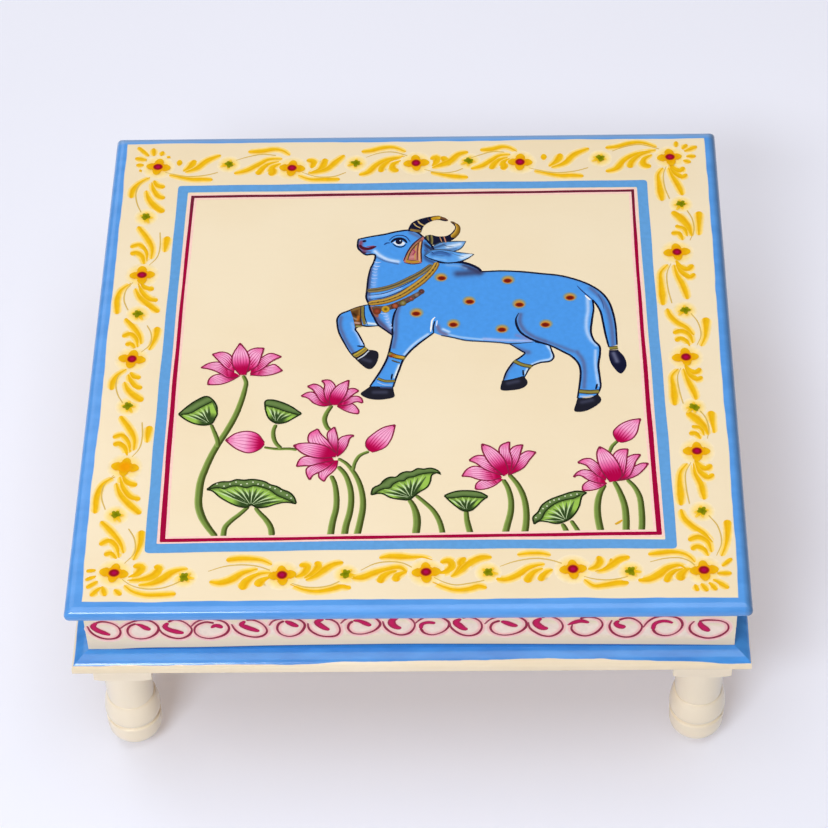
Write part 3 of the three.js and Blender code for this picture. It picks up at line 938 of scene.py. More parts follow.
# Half scrolls as the brush laid them, by their side, by whether they run with the flowers' order or against
# it, and by the number of their bud. Each is the line of its fine stem, then its broad strokes: a fan, and
# last the drop on the other side. A stroke is its line and its widths in pixels.
SCROLLS = {
    ("front", "with", 0): [
        [(122, 579), (131, 585), (145, 588.5), (160, 588), (171, 585), (180, 581)],
        ([(133, 565.5), (141, 567), (138, 573), (128, 577)], (4, 8, 6, 1)),
        ([(154, 566), (159, 568), (154, 575), (143, 579), (127, 580)], (5, 7.5, 7, 3.5, 1)),
        ([(138, 585), (152, 583), (163, 578), (172, 572), (180, 569.5), (188, 568.5)],
         (1, 4, 7, 7, 4, 0.8)),
        ([(124, 585), (132, 591), (145, 594.5), (160, 594.5), (176, 593.5)], (1, 2.6, 3.6, 4, 3)),
    ],
    ("front", "with", 1): [
        [(291.5, 583), (304, 586.5), (318, 587), (330, 585), (339.5, 581)],
        ([(299, 564.5), (307, 566), (304, 573), (295, 577)], (4, 7, 5.5, 1.5)),
        ([(316, 561), (318.5, 565.5), (314, 572), (304, 578)], (5, 7, 5, 1)),
        ([(343.5, 562), (334, 564), (324, 569.5), (315.5, 575.5), (305.5, 580)], (2.5, 5, 6.5, 4.5, 1)),
        ([(351, 588), (342, 586), (332.5, 588.5), (318, 591), (304, 589.5), (290, 584)],
         (3, 5, 4, 3, 2, 1)),
    ],
    ("front", "with", 2): [
        [(434, 577), (443.7, 581.7), (455, 584.5), (469, 583), (484.5, 580)],
        ([(440, 562), (449, 560.6), (452, 565.5), (446.5, 571), (436.6, 573)], (3, 6.5, 7, 5, 1)),
        ([(465.5, 557), (461.5, 561.5), (462.7, 566), (455, 574), (450.7, 576.5)], (3, 8, 9, 5, 1)),
        ([(492, 557), (482, 557.3), (472, 561.3), (463.5, 567.6), (456, 574)], (2.5, 6, 6.5, 6, 2)),
        ([(487, 587.7), (479, 586), (469, 588.7), (456, 589.7), (443.7, 586.6), (432.4, 581.7)],
         (2.5, 5, 4, 3, 2, 1)),
    ],
    ("front", "with", 3): [
        [(584, 576), (594, 578.5), (608, 579.5), (620, 578), (628, 576)],
        ([(598, 555.5), (600, 561), (596, 566.5), (588, 569)], (4, 6.5, 5, 1.5)),
        ([(611, 558), (611, 563.5), (606, 568), (598, 571)], (2.5, 4, 4, 1)),
        ([(630, 556.5), (620, 559), (611, 565), (603, 569.5), (595, 571)], (3, 6.5, 6.5, 4, 1)),
        ([(629, 582.5), (618, 582.5), (606, 584.5), (594, 585.5), (584, 579)], (4, 5.5, 4.5, 3, 1)),
    ],
    ("front", "against", 0): [
        [(208, 571), (225, 566), (245, 564.5), (260, 566.5), (270, 570)],
        ([(257, 586.5), (259.5, 582), (265, 578.5), (272, 576)], (9, 8, 4.5, 1)),
        ([(241, 589.5), (246, 581), (254, 575.5), (262, 573), (272, 572.5)], (8, 8, 5, 2.5, 1)),
        ([(209, 581.5), (220, 582.5), (232, 579), (242, 573), (258, 568.5)], (1.5, 6, 7, 4, 1)),
        ([(226, 560), (238, 558.5), (250, 558.5), (262, 560), (272, 564.5)], (4, 5, 4.2, 2.6, 1)),
    ],
    ("front", "against", 1): [
        [(360.6, 570), (374.6, 563.4), (388.7, 561.3), (402.8, 562.7), (412, 567)],
        ([(396.5, 581.5), (396.5, 576), (401.4, 573), (407, 571.4)], (7, 7, 4.5, 2)),
        ([(380, 583), (381.7, 577.5), (388.7, 572.5), (397, 570.4)], (7, 6.5, 4, 2)),
        ([(350.7, 577), (362, 577), (373, 573), (386, 569), (400, 567), (407, 571.8)], (3, 6, 6, 4, 4, 2)),
        ([(379, 557.7), (388.7, 556), (400, 556.3), (411, 556.8), (422.5, 556.8), (432.4, 559.6)],
         (1.5, 5, 6, 3.5, 2, 1)),
    ],
    ("front", "against", 2): [
        [(500, 566), (515, 561), (535, 558), (550, 559.5), (562, 563)],
        ([(540.5, 581), (542, 576), (547, 571.5), (553, 569)], (6, 6, 4, 1)),
        ([(527, 582.5), (529, 577), (535, 571), (543, 568)], (7.5, 6.5, 4, 1)),
        ([(496, 578.5), (506, 579), (518, 574.5), (530, 567), (545, 563.5)], (3, 5, 6, 4, 1)),
        ([(517, 554.5), (528, 553), (542, 553), (551, 555)], (1.5, 3, 3, 1)),
    ],
    ("front", "against", 3): [
        [(650, 561.5), (665, 558), (680, 557.5), (690, 561), (695, 565)],
        ([(681, 580.5), (681, 574.5), (686, 569.5), (691, 568)], (8, 8, 5, 1)),
        ([(666, 582), (669, 575.5), (675, 570.5), (683, 568)], (6, 6, 4, 1)),
        ([(638, 580), (650, 578.5), (660, 573.5), (668, 567.5), (680, 565), (688, 570)],
         (3, 6, 7.5, 5.5, 3, 1)),
        ([(648, 554), (660, 552.5), (672, 551.5), (683, 553), (690, 556.5), (695, 562)],
         (2, 4.5, 4.5, 3, 2, 1)),
    ],
    ("back", "with", 0): [
        [(165, 172), (185, 176), (205, 175), (218, 172)],
        ([(176.5, 162.5), (179.5, 162.5), (182.5, 162.5)], (8.5, 10, 8.5)),
        ([(195, 159.5), (192, 164.5), (188, 168), (183, 171)], (5, 7, 4, 1)),
        ([(221, 154.7), (207, 160.5), (196.7, 168), (185, 172)], (2, 5.5, 5.5, 1)),
        ([(212.7, 179.4), (202, 179), (191.5, 179), (169, 174.6)], (3, 4.5, 3, 1)),
    ],
    ("back", "with", 1): [
        [(302, 172), (318, 176.5), (334, 176), (346, 172)],
        ([(306.5, 159.5), (313.5, 161.5), (311.5, 168)], (4, 7, 3)),
        ([(325, 158), (324.7, 162), (320, 169), (308, 173)], (5, 7, 4.5, 1)),
        ([(344.6, 154.7), (335.6, 161.8), (326.7, 168.8), (310, 173.3)], (2.5, 6, 5, 1)),
        ([(340, 179), (325, 179), (310, 179), (298, 175)], (3, 4.5, 2.5, 1)),
    ],
    ("back", "with", 2): [
        [(424, 169), (440, 172.5), (455, 171), (463, 168)],
        ([(430, 158.6), (437, 157.3), (435.6, 162.4), (431.8, 165.6)], (4, 7, 6.5, 1.5)),
        ([(442, 156), (446, 160.5), (449.7, 165)], (6, 8, 5)),
        ([(468.3, 151.5), (458.7, 154), (449.7, 161), (431.8, 167.6)], (3, 6, 7, 1)),
        ([(468.3, 177), (460, 176.5), (448.5, 175.3), (430.5, 172)], (3, 5, 3, 1)),
    ],
    ("back", "against", 0): [
        [(236, 160), (248, 156.5), (262, 154), (276, 155)],
        ([(268, 173.5), (272, 172.5), (272.5, 167), (281, 163)], (7, 9, 4, 1)),
        ([(257, 174.5), (261, 169.5), (268.5, 163.7), (279, 161)], (6, 6, 3.5, 1)),
        ([(233.8, 173.3), (246.7, 170), (259.5, 163.7), (268.5, 159.2), (282.6, 158.5)], (2, 5, 5, 3, 1)),
        ([(248, 151.5), (261, 151), (275, 149), (283, 150.5), (290, 155)], (2.5, 5, 4.5, 2.5, 1)),
    ],
    ("back", "against", 1): [
        [(366, 157), (378, 153), (389.5, 151.5), (398, 152.5), (407.4, 155.4)],
        ([(398.5, 171), (393, 168.5), (393, 164), (401, 160)], (5, 7, 4.5, 1.5)),
        ([(380.5, 172), (381.8, 167), (389.5, 160.5), (399.7, 158)], (6, 5.5, 3.5, 1)),
        ([(358.7, 174.6), (367.7, 172), (376.7, 164.4), (387, 159.2), (405, 156)], (2.5, 6, 5, 3, 1)),
        ([(361.3, 151.5), (371.5, 150.3), (381.8, 147.7), (393.3, 147), (406, 151.5)],
         (2.5, 4.5, 4.5, 2.5, 1)),
    ],
    ("left", "with", 0): [
        [(150, 177), (140, 184), (136, 193), (137, 203), (141, 212)],
        ([(154, 180), (157, 185), (165, 187)], (2, 5, 5)),
        ([(151.5, 182), (154, 190), (158.5, 196), (165, 198)], (1, 4, 5, 4.5)),
        ([(146, 190), (149, 199), (156, 207), (164, 212)], (1, 4.5, 6.5, 6)),
        ([(150, 177), (139, 183), (133, 190), (131, 198)], (1, 2.5, 5.5, 3.5)),
    ],
    ("left", "with", 1): [
        [(133, 282), (126, 290), (124, 300), (128, 310)],
        ([(140, 281), (145, 287), (154, 289)], (1, 5.5, 5)),
        ([(138, 283), (143, 293), (150, 299), (158, 300)], (1, 4, 5, 4.5)),
        ([(135, 288), (140, 297), (148, 304), (159, 312)], (1, 4.5, 6, 4.5)),
        ([(131, 283), (121, 290), (117, 300), (117, 307), (117, 314)], (1, 2.5, 5, 5, 3)),
    ],
    ("left", "against", 0): [
        [(149, 265), (157, 257), (160, 247), (160, 232)],
        ([(144, 264), (142, 256), (136, 252.5), (130, 254)], (1.5, 4, 5.5, 5)),
        ([(147, 261), (146, 251), (139, 244.5), (130, 247)], (1, 3.5, 4.5, 4)),
        ([(151, 259), (152, 248), (147, 238), (141, 230), (138, 226)], (1, 3, 5, 4.5, 3)),
        ([(167.5, 236), (166, 244), (164.5, 252)], (6.5, 5, 1)),
    ],
    ("left", "against", 1): [
        [(141, 352), (150, 344), (151, 333), (147, 325)],
        ([(135, 348), (131, 343.5), (125, 344.5)], (2, 4.5, 4.5)),
        ([(137.5, 347), (136, 338), (130, 333.5), (122, 336.5)], (1, 3.5, 5, 4)),
        ([(141, 344), (139.5, 336), (132.5, 326), (125, 318)], (1, 4, 5, 3)),
        ([(157.5, 326.5), (155.5, 337), (149, 350)], (6, 4, 1)),
    ],
    ("right", "with", 1): [
        [(671, 263), (667, 273), (668, 288), (672, 303)],
        ([(676, 260), (681, 267), (688, 268.5), (693, 264)], (2, 6, 6, 4)),
        ([(676, 264), (682, 272), (690, 276.5), (695, 273)], (1, 4.5, 6, 3)),
        ([(674, 264), (677, 274), (682, 283), (686, 293), (687.5, 299)], (1, 3, 5, 5, 2.5)),
        ([(668, 264), (661, 272), (661, 283), (662, 293), (663, 305)], (1, 2.5, 4.5, 6.5, 3)),
    ],
    ("right", "against", 0): [
        [(690, 240), (694, 230), (692, 218), (687, 210)],
        ([(683, 240), (679, 233), (671, 233)], (1, 5, 4.5)),
        ([(687.5, 236), (684, 228), (675, 225.5)], (1, 4, 3.5)),
        ([(692, 236), (688, 226), (680, 217), (672, 211)], (1, 6, 8, 5.5)),
        ([(699, 211), (699, 222), (699, 235)], (7, 4, 1.5)),
    ],
    ("right", "against", 1): [
        [(697, 345), (701, 335), (698, 322), (691, 313)],
        ([(690, 346), (686, 340), (680, 338), (675.5, 341)], (1, 4, 5, 4)),
        ([(693, 343), (689, 334), (681, 330.5), (673, 333)], (1, 3.5, 5.5, 4)),
        ([(694, 335), (686, 327), (677, 322), (670, 315), (667, 308)], (1, 4, 5, 4.5, 2)),
        ([(706, 317), (706, 328), (705, 337), (701, 346)], (7.5, 4.5, 2.5, 1)),
    ],
}

# Short commas that fan out of each corner flower.
CORNER_COMMAS = [
    [(96, 570), (86, 571)], [(96, 576), (85, 580)], [(98, 581), (86, 588)],
    [(101, 587), (90, 596)], [(102, 586), (105, 596)], [(114, 589), (121, 595)],
    [(717, 573), (732, 573)], [(713, 579), (729, 588)], [(709, 582), (717, 590)],
    [(701, 583), (708, 591)], [(695, 584), (698, 591)], [(722, 566), (732, 558)],
    [(676, 147), (676, 141)], [(682, 149), (687, 144)], [(684, 151), (697, 146)],
    [(686, 156), (696, 156)], [(683, 160), (691, 162)], [(149, 156), (138, 147)],
    [(154, 156), (153.5, 148)], [(161, 156), (163, 151)], [(167, 158), (170, 156)],
    [(147, 160), (135, 158)], [(144, 165), (136, 165)], [(142, 170), (139, 171)],
]
MARK_REACH = 0.1438
MARK_EDGE = 0.1464
MIST_COAT = 0
STROKE_COAT = 2
COMMA_COAT = 9
BUD_COAT = 10
FLOWER_COAT = 12
BORDER_BOLDNESS = 1.1
MIST = (CREAM, YELLOW_PALE, YELLOW_PALE, YELLOW_PALE, CREAM)
MIST_PX = 7
STROKE_TONES = [YELLOW_SOFT, YELLOW, YELLOW, YELLOW_DEEP, YELLOW_SOFT]
SCROLL_STEM_WIDTHS = (0.8, 1.4, 1.5, 1.3)
COMMA_WIDTHS = (1.6, 4.2, 3.2)
LEAST_SCALE, MOST_SCALE, REPEAT_SHAKE = 0.85, 1.15, 0.00022

# The flowers and buds of the border, in metres. A petal or a leaf is set by its angle from the bud's aim.
HALO_TONES = [YELLOW_PALE, YELLOW_PALE, YELLOW_MIST, CREAM]
FLOWER_LEAN, FLOWER_HALO = 0.15, 0.0086
LOBE_SIZES, LOBE_SCALES = (0.94, 1.08), (1.06, 0.96)
LOBE_REACHES, LOBE_WIDTHS = (0.0010, 0.0032, 0.0060), (0.0034, 0.0047, 0.0028)
EYE_RADIUS, HEART_RADIUS = 0.0036, 0.0027
HEART_TONES = [HEART_RED, HEART_RED, HEART_DARK, HEART_DARK, ORANGE]
WIDE_STRETCH, HIGH_STRETCH = (0.96, 1.06), (0.9, 1.02)
BUD_HALO = 0.0062
BUD_PETALS = ((-0.75, 0.0038), (0.75, 0.0038), (-0.1, 0.0048), (2.4, 0.0034), (-2.4, 0.0034))
BUD_PETAL_SLIP, BUD_PETAL_WIDTHS = 0.15, (0.0022, 0.0012)
BUD_PETAL_TONES = [YELLOW_DEEP, YELLOW, YELLOW_PALE]
BUD_LEAVES = (math.pi, 2.0, -2.0, 0.95, -0.95)
BUD_LEAF_SLIP, BUD_LEAF_WIDTHS = 0.2, (0.0026, 0.0014)
BUD_LEAF_ROOT, BUD_LEAF_REACHES = 0.0006, (0.0021, 0.0029)


def as_complex(points):
    return points[:, 0] + 1j * points[:, 1]


def misted(paint, points, widths, coat):
    """A yellow stroke with darker edges, over a pale one that fades into the cream."""
    wide = np.array(widths) * BORDER_BOLDNESS
    room = 2 * max(MARK_EDGE - np.abs(points).max(), 0) / PX
    misty = np.maximum(np.minimum(wide + MIST_PX, room), wide)
    paint.stroke(points, misty * PX, None, MIST_COAT, across=MIST)
    paint.stroke(points, wide * PX, None, coat, across=STROKE_TONES)


def ends(side, way, number):
    """The flower and the bud that half a scroll runs between."""
    return FLOWERS[side][number + (way == "against")], BUDS[side][number]


def scroll(paint, side, way, number):
    """Half a scroll between a flower and a bud, laid as its pattern is, jittered where that is repeated."""
    drawn = [key for key in SCROLLS if key[:2] == (side, way)]
    own = (side, way, number) in drawn
    pattern = (side, way, number) if own else drawn[number % len(drawn)]
    stem_line, *strokes = SCROLLS[pattern]
    start, end = as_complex(top(*ends(*pattern)))
    at, aim = as_complex(top(*ends(side, way, number)))
    turn = (aim - at) / (end - start)
    turn *= min(max(abs(turn), LEAST_SCALE), MOST_SCALE) / abs(turn)
    shake = 0 if own else REPEAT_SHAKE

    def laid(points):
        place = at + (as_complex(top(*points)) - start) * turn
        slips = [[random.uniform(-shake, shake) for _ in range(2)] for _ in points]
        marks = np.column_stack([place.real, place.imag]) + np.array(slips)
        over = np.maximum(np.abs(marks).max(axis=0) - MARK_REACH, 0)
        return marks - np.sign(marks.mean(axis=0)) * over

    paint.stroke(laid(stem_line), np.array(SCROLL_STEM_WIDTHS) * PX, STEM_YELLOW, MIST_COAT + 1)
    for k, (line, widths) in enumerate(strokes):
        misted(paint, laid(line), widths, STROKE_COAT + k)


def turned(way, turn):
    """A direction turned by an angle."""
    c, s = math.cos(turn), math.sin(turn)
    return np.array([way[0] * c - way[1] * s, way[0] * s + way[1] * c])


def flower(paint, place, heart):
    """Four lobes, the side ones longer, round an orange eye with a dark red heart."""
    middle = top(place)[0]
    lean = random.uniform(-FLOWER_LEAN, FLOWER_LEAN)
    paint.dot(middle, FLOWER_HALO, HALO_TONES, MIST_COAT)
    for k in range(4):
        way = turned((1, 0), lean + k * math.pi / 2)
        size = random.uniform(*LOBE_SIZES) * LOBE_SCALES[k % 2]
        line = [middle + way * reach * size for reach in LOBE_REACHES]
        paint.stroke(line, np.array(LOBE_WIDTHS) * size, [ORANGE, YELLOW_DEEP, YELLOW], FLOWER_COAT + k)
    paint.dot(middle, EYE_RADIUS, [ORANGE, ORANGE, YELLOW_DEEP], FLOWER_COAT + 4)
    if heart:
        stretch = (random.uniform(*WIDE_STRETCH), random.uniform(*HIGH_STRETCH))
        paint.dot(middle, HEART_RADIUS, HEART_TONES, FLOWER_COAT + 5, stretch)


def bud(paint, place, lean):
    """A clump of small green leaves with yellow petals breaking out of it."""
    middle = top(place)[0]
    aim = top((place[0] + lean[0], place[1] + lean[1]))[0] - middle
    aim /= np.linalg.norm(aim)
    paint.dot(middle, BUD_HALO, HALO_TONES, MIST_COAT)
    for k, (spread, reach) in enumerate(BUD_PETALS):
        way = turned(aim, spread + random.uniform(-BUD_PETAL_SLIP, BUD_PETAL_SLIP))
        paint.stroke([middle, middle + way * reach], BUD_PETAL_WIDTHS, BUD_PETAL_TONES, BUD_COAT + k)
    for k, spread in enumerate(BUD_LEAVES):
        way = turned(aim, spread + random.uniform(-BUD_LEAF_SLIP, BUD_LEAF_SLIP))
        line = [middle - way * BUD_LEAF_ROOT, middle + way * random.uniform(*BUD_LEAF_REACHES)]
        paint.stroke(line, BUD_LEAF_WIDTHS, [BUD_GREEN, BUD_OLIVE], BUD_COAT + len(BUD_PETALS) + k)


def border(material):
    paint = Paint("border_scrolls", "cream_paint")
    for side in SIDES:
        for k, middle in enumerate(BUDS[side]):
            scroll(paint, side, "with", k)
            scroll(paint, side, "against", k)
            bud(paint, middle, BUD_LEANS[side])
    for place in sorted({place for places in FLOWERS.values() for place in places}):
        flower(paint, place, place != HEARTLESS_FLOWER)
    for line in CORNER_COMMAS:
        points = top(*line)
        misted(paint, [points[0], points.mean(axis=0), points[1]], COMMA_WIDTHS, COMMA_COAT)
    paint.piece(material)


def by_width(widths, colours):
    """A brush mark's colours, the last one where it is widest."""
    return blend(np.array(widths) / max(widths), colours)


# The swirls along the apron, each a thin line that winds in to a thick head, and the head's line and widths.
SWIRLS = [
    (
        [(87, 626), (92, 633), (100, 637.5), (109, 639), (117, 637.5), (120.5, 633), (119, 628),
         (114.5, 624.5), (108, 622.3), (101, 621.7), (96, 623)],
        ([(96.5, 622.5), (93, 626.5), (97, 630), (103, 632.5), (110.5, 635)], (3, 6, 6.5, 6.5, 3)),
    ),
    (
        [(120, 628.5), (127, 624), (137, 620.5), (146, 620), (153, 622), (158.5, 627.5), (156.5, 633),
         (149, 637.5), (140, 638.8), (131, 636.5), (127.5, 631), (130, 626), (136, 623.5)],
        ([(135.5, 624), (140, 625), (145, 627.5), (150.5, 630)], (2, 5, 6.5, 4.5)),
    ),
    (
        [(158.5, 628), (163, 633.5), (172, 637.5), (181, 638.3), (189, 635), (191.8, 629.5), (188, 624.5),
         (181, 620.8), (174, 619.8), (168, 622)],
        ([(168, 622.5), (165, 626.5), (169, 629.5), (176, 631.5), (184, 633)], (3, 5.5, 6.5, 7, 4)),
    ),
    (
        [(190.5, 627), (196, 622), (203, 619.5), (211, 619), (219, 620), (226, 623), (229, 628),
         (226, 633.5), (218, 637), (209, 638.3), (200, 636.5), (195, 632.5), (195, 627.5), (199, 624),
         (206, 622), (214, 623)],
        ([(211, 628), (215, 625.5), (219, 626), (222.5, 628)], (1.5, 5, 6.5, 4)),
    ),
    (
        [(231.5, 624), (235, 629.5), (241, 633.8), (249, 636.3), (257, 637), (264, 635), (267, 631),
         (264.5, 626), (259, 622), (252, 619.8), (246, 620)],
        ([(245, 620.8), (241.5, 624.5), (247, 627.3), (253, 629.3), (259.5, 631.3)], (3, 5.5, 7, 6.5, 4)),
    ),
    (
        [(269, 625.5), (273, 621), (281, 618.8), (290, 618), (299, 619.5), (304.7, 624.3), (302, 631),
         (296, 635), (289, 636.3), (281, 634), (277.3, 629), (279, 623.5), (284, 620.8)],
        ([(285, 620.8), (289, 622.5), (294, 624.8), (298.5, 626.5)], (3, 6.5, 6.5, 4)),
    ),
    (
        [(307.7, 623), (309, 628.5), (313, 632.3), (320, 635.5), (328, 636.5), (336, 635.5),
         (339.8, 631.5), (339, 626), (336, 622), (330, 619.3), (325, 619)],
        ([(323.5, 619), (317, 621.8), (320, 625), (324.5, 627.8), (329.5, 630)], (3, 6, 7, 6.5, 4)),
    ),
    (
        [(340.5, 623.5), (345, 619.5), (351, 617), (360, 615.8), (369, 616), (376, 618.5), (380.3, 623.6),
         (377, 628.5), (370, 632.2), (361, 634), (353, 633), (348.3, 628.5), (349.5, 623.5), (353, 621)],
        ([(353, 620.5), (359, 620.7), (365, 623), (371, 625.8)], (3, 5, 6.5, 4.5)),
    ),
    (
        [(382.6, 621), (385, 627), (391, 632), (400, 634.8), (408, 633.5), (413, 629.5), (414.8, 624),
         (411, 619), (405, 616.5), (399, 616.3)],
        ([(398.5, 616.8), (392, 620.5), (392.5, 624.5), (397, 627.3), (401.5, 628)], (3, 6.5, 8, 7, 4.5)),
    ),
    (
        [(415, 623.5), (420, 619.5), (427, 616.5), (436, 616), (444, 618.5), (449.3, 623), (447, 628.5),
         (441, 632.5), (432, 634.7), (424, 632.5), (420.5, 628)],
        ([(420.8, 628.5), (422, 624), (428, 622.3), (435.5, 623)], (3.6, 4.5, 4.5, 4)),
    ),
    (
        [(449.5, 622), (451, 627), (456, 631.5), (463, 634.8), (471, 635.5), (478, 633), (481.8, 627.5),
         (480.5, 622), (475, 618.3), (468, 617), (462, 618)],
        ([(461, 618.5), (456, 622), (459.5, 625.5), (463.5, 628.3), (467.8, 629.5)], (3, 6.5, 8, 7, 4)),
    ),
    (
        [(484.5, 624), (490, 619.5), (497, 617), (505, 615.5), (514, 615.8), (521, 617.8), (526, 621.5),
         (526, 626.5), (521, 631), (513, 634), (503, 635), (494, 632.5), (490.5, 628), (493, 623),
         (500, 620.5)],
        ([(501, 621), (507, 622.8), (512.5, 624.8), (517.8, 626)], (3.5, 6.5, 6.5, 4)),
    ),
    (
        [(528.2, 622), (530, 628), (536, 632.5), (543, 635.5), (551, 636), (558, 633), (562.8, 627),
         (560, 620.5), (553, 617), (547, 616), (541.5, 617.5)],
        ([(541.5, 617.8), (536, 622), (539, 625.8), (543.5, 628), (548.3, 628)], (3, 6.5, 8, 7.5, 4.5)),
    ),
    (
        [(572.5, 624), (571.5, 629), (576, 633.5), (585, 635.8), (594, 633.5), (600, 629), (602.6, 624),
         (599, 619), (592.5, 617.2), (586, 617), (580, 618.5)],
        ([(567.5, 625), (573.5, 622.5), (581, 620.8), (589.3, 622.5)], (1.5, 5.5, 6, 3)),
    ),
    (
        [(612, 620), (609.5, 625.5), (611.5, 631), (617, 635), (626, 637), (634, 635.5), (640, 631),
         (642, 626), (638, 621), (631, 618), (624, 618.3), (619, 620)],
        ([(619, 620.3), (616, 623.3), (619.5, 626), (625.8, 627)], (3, 5.5, 7, 6)),
    ),
    (
        [(643, 627.5), (648, 621.5), (654, 617.8), (662, 616), (671, 616.3), (679, 618.5), (682.5, 624),
         (679.5, 630), (672, 634.5), (664, 635.5), (656, 633), (652.8, 629)],
        ([(652.8, 629.5), (655, 623.5), (662, 621), (668, 621.3), (673, 623)], (4.2, 4.5, 4.8, 4.5, 2.5)),
    ),
    (
        [(694.5, 621), (690, 625.5), (690.5, 631), (697, 635.5), (708, 638), (720, 635.5), (728, 629.5),
         (727.5, 624), (721, 620.8), (712, 620), (704, 620.2), (699, 621.5)],
        ([(700, 621.5), (700.8, 624.8), (704.5, 628), (709.5, 631.3)], (3.5, 6.5, 7.5, 4)),
    ),
]


SWIRL_WIDTHS = (1.6, 2.4, 2.6, 2.3, 2.8, 2.0, 1.8, 2.4, 3.0)
SWIRL_LINE_TONES = [SWIRL_FAINT, SWIRL_FAINT, SWIRL_RING, SWIRL_RING]
SWIRL_HEAD_TONES = [SWIRL_RING, SWIRL_BLOB, SWIRL_BLOB, SWIRL_RING]
BLOOM_TONES = [APRON_ROSE, SWIRL_MIST, SWIRL_MIST, SWIRL_MIST, APRON_ROSE]
LINE_BLOOM_PX, HEAD_BLOOM_PX = 7, 5

# The pale wash behind the swirls.
WASH_LINE, WASH_PX = [(94, 632), (414, 628), (727, 631)], 24
WASH_TONES = [APRON_CREAM, APRON_ROSE, APRON_ROSE, APRON_ROSE, APRON_CREAM]

# Where the rails' blue was carried up onto the apron's foot.
FOOT_LINE = [(89, 651), (110, 649.6), (140, 647.8), (200, 647), (270, 645.4), (330, 644.5), (400, 643.7),
             (480, 643.7), (560, 643.9), (640, 644.2), (700, 644.6), (735, 645)]


def foot_band(paint):
    """A strip of the rails' blue along the apron's foot, with a painted shadow darkening its upper edge."""
    shadow_drop, seat_gap = 0.0009, 0.0001
    upper = spline(front(*FOOT_LINE), step=0.004)
    lower = np.column_stack([upper[:, 0], np.full(len(upper), APRON_LEVEL - seat_gap)])
    rows = [upper, np.maximum(upper - [0, shadow_drop], lower), lower]
    # Painted shadow: the strip's upper edge in a darker blue.
    tints = np.repeat([RAIL_PAINTED_SHADOW, RAIL_DEEP, RAIL_BLUE], len(upper), axis=0)
    paint.lay(np.vstack(rows), grid_faces(len(rows), len(upper)), tints, 0)


def swirls(material):
    """Each swirl a thin line and a thick head over their bloom, on a pale wash, alike on all four sides."""
    paint = Paint("swirls", "cream_paint", on_front=True)
    foot_band(paint)
    paint.stroke(front(*WASH_LINE), WASH_PX * PX, None, 0, across=WASH_TONES)
    thin = np.array(SWIRL_WIDTHS)
    for line, (head, widths) in SWIRLS:
        line, head, thick = front(*line), front(*head), np.array(widths)
        paint.stroke(line, (thin + LINE_BLOOM_PX) * PX, None, 1, across=BLOOM_TONES)
        paint.stroke(head, (thick + HEAD_BLOOM_PX) * PX, None, 2, across=BLOOM_TONES)
        paint.stroke(line, thin * PX, by_width(thin, SWIRL_LINE_TONES), 3)
        paint.stroke(head, thick * PX, None, 4, across=SWIRL_HEAD_TONES)
    for turn in range(4):
        paint.piece(material, turn)


# The pond: lotus flowers, buds, leaves and stems, in photo points.

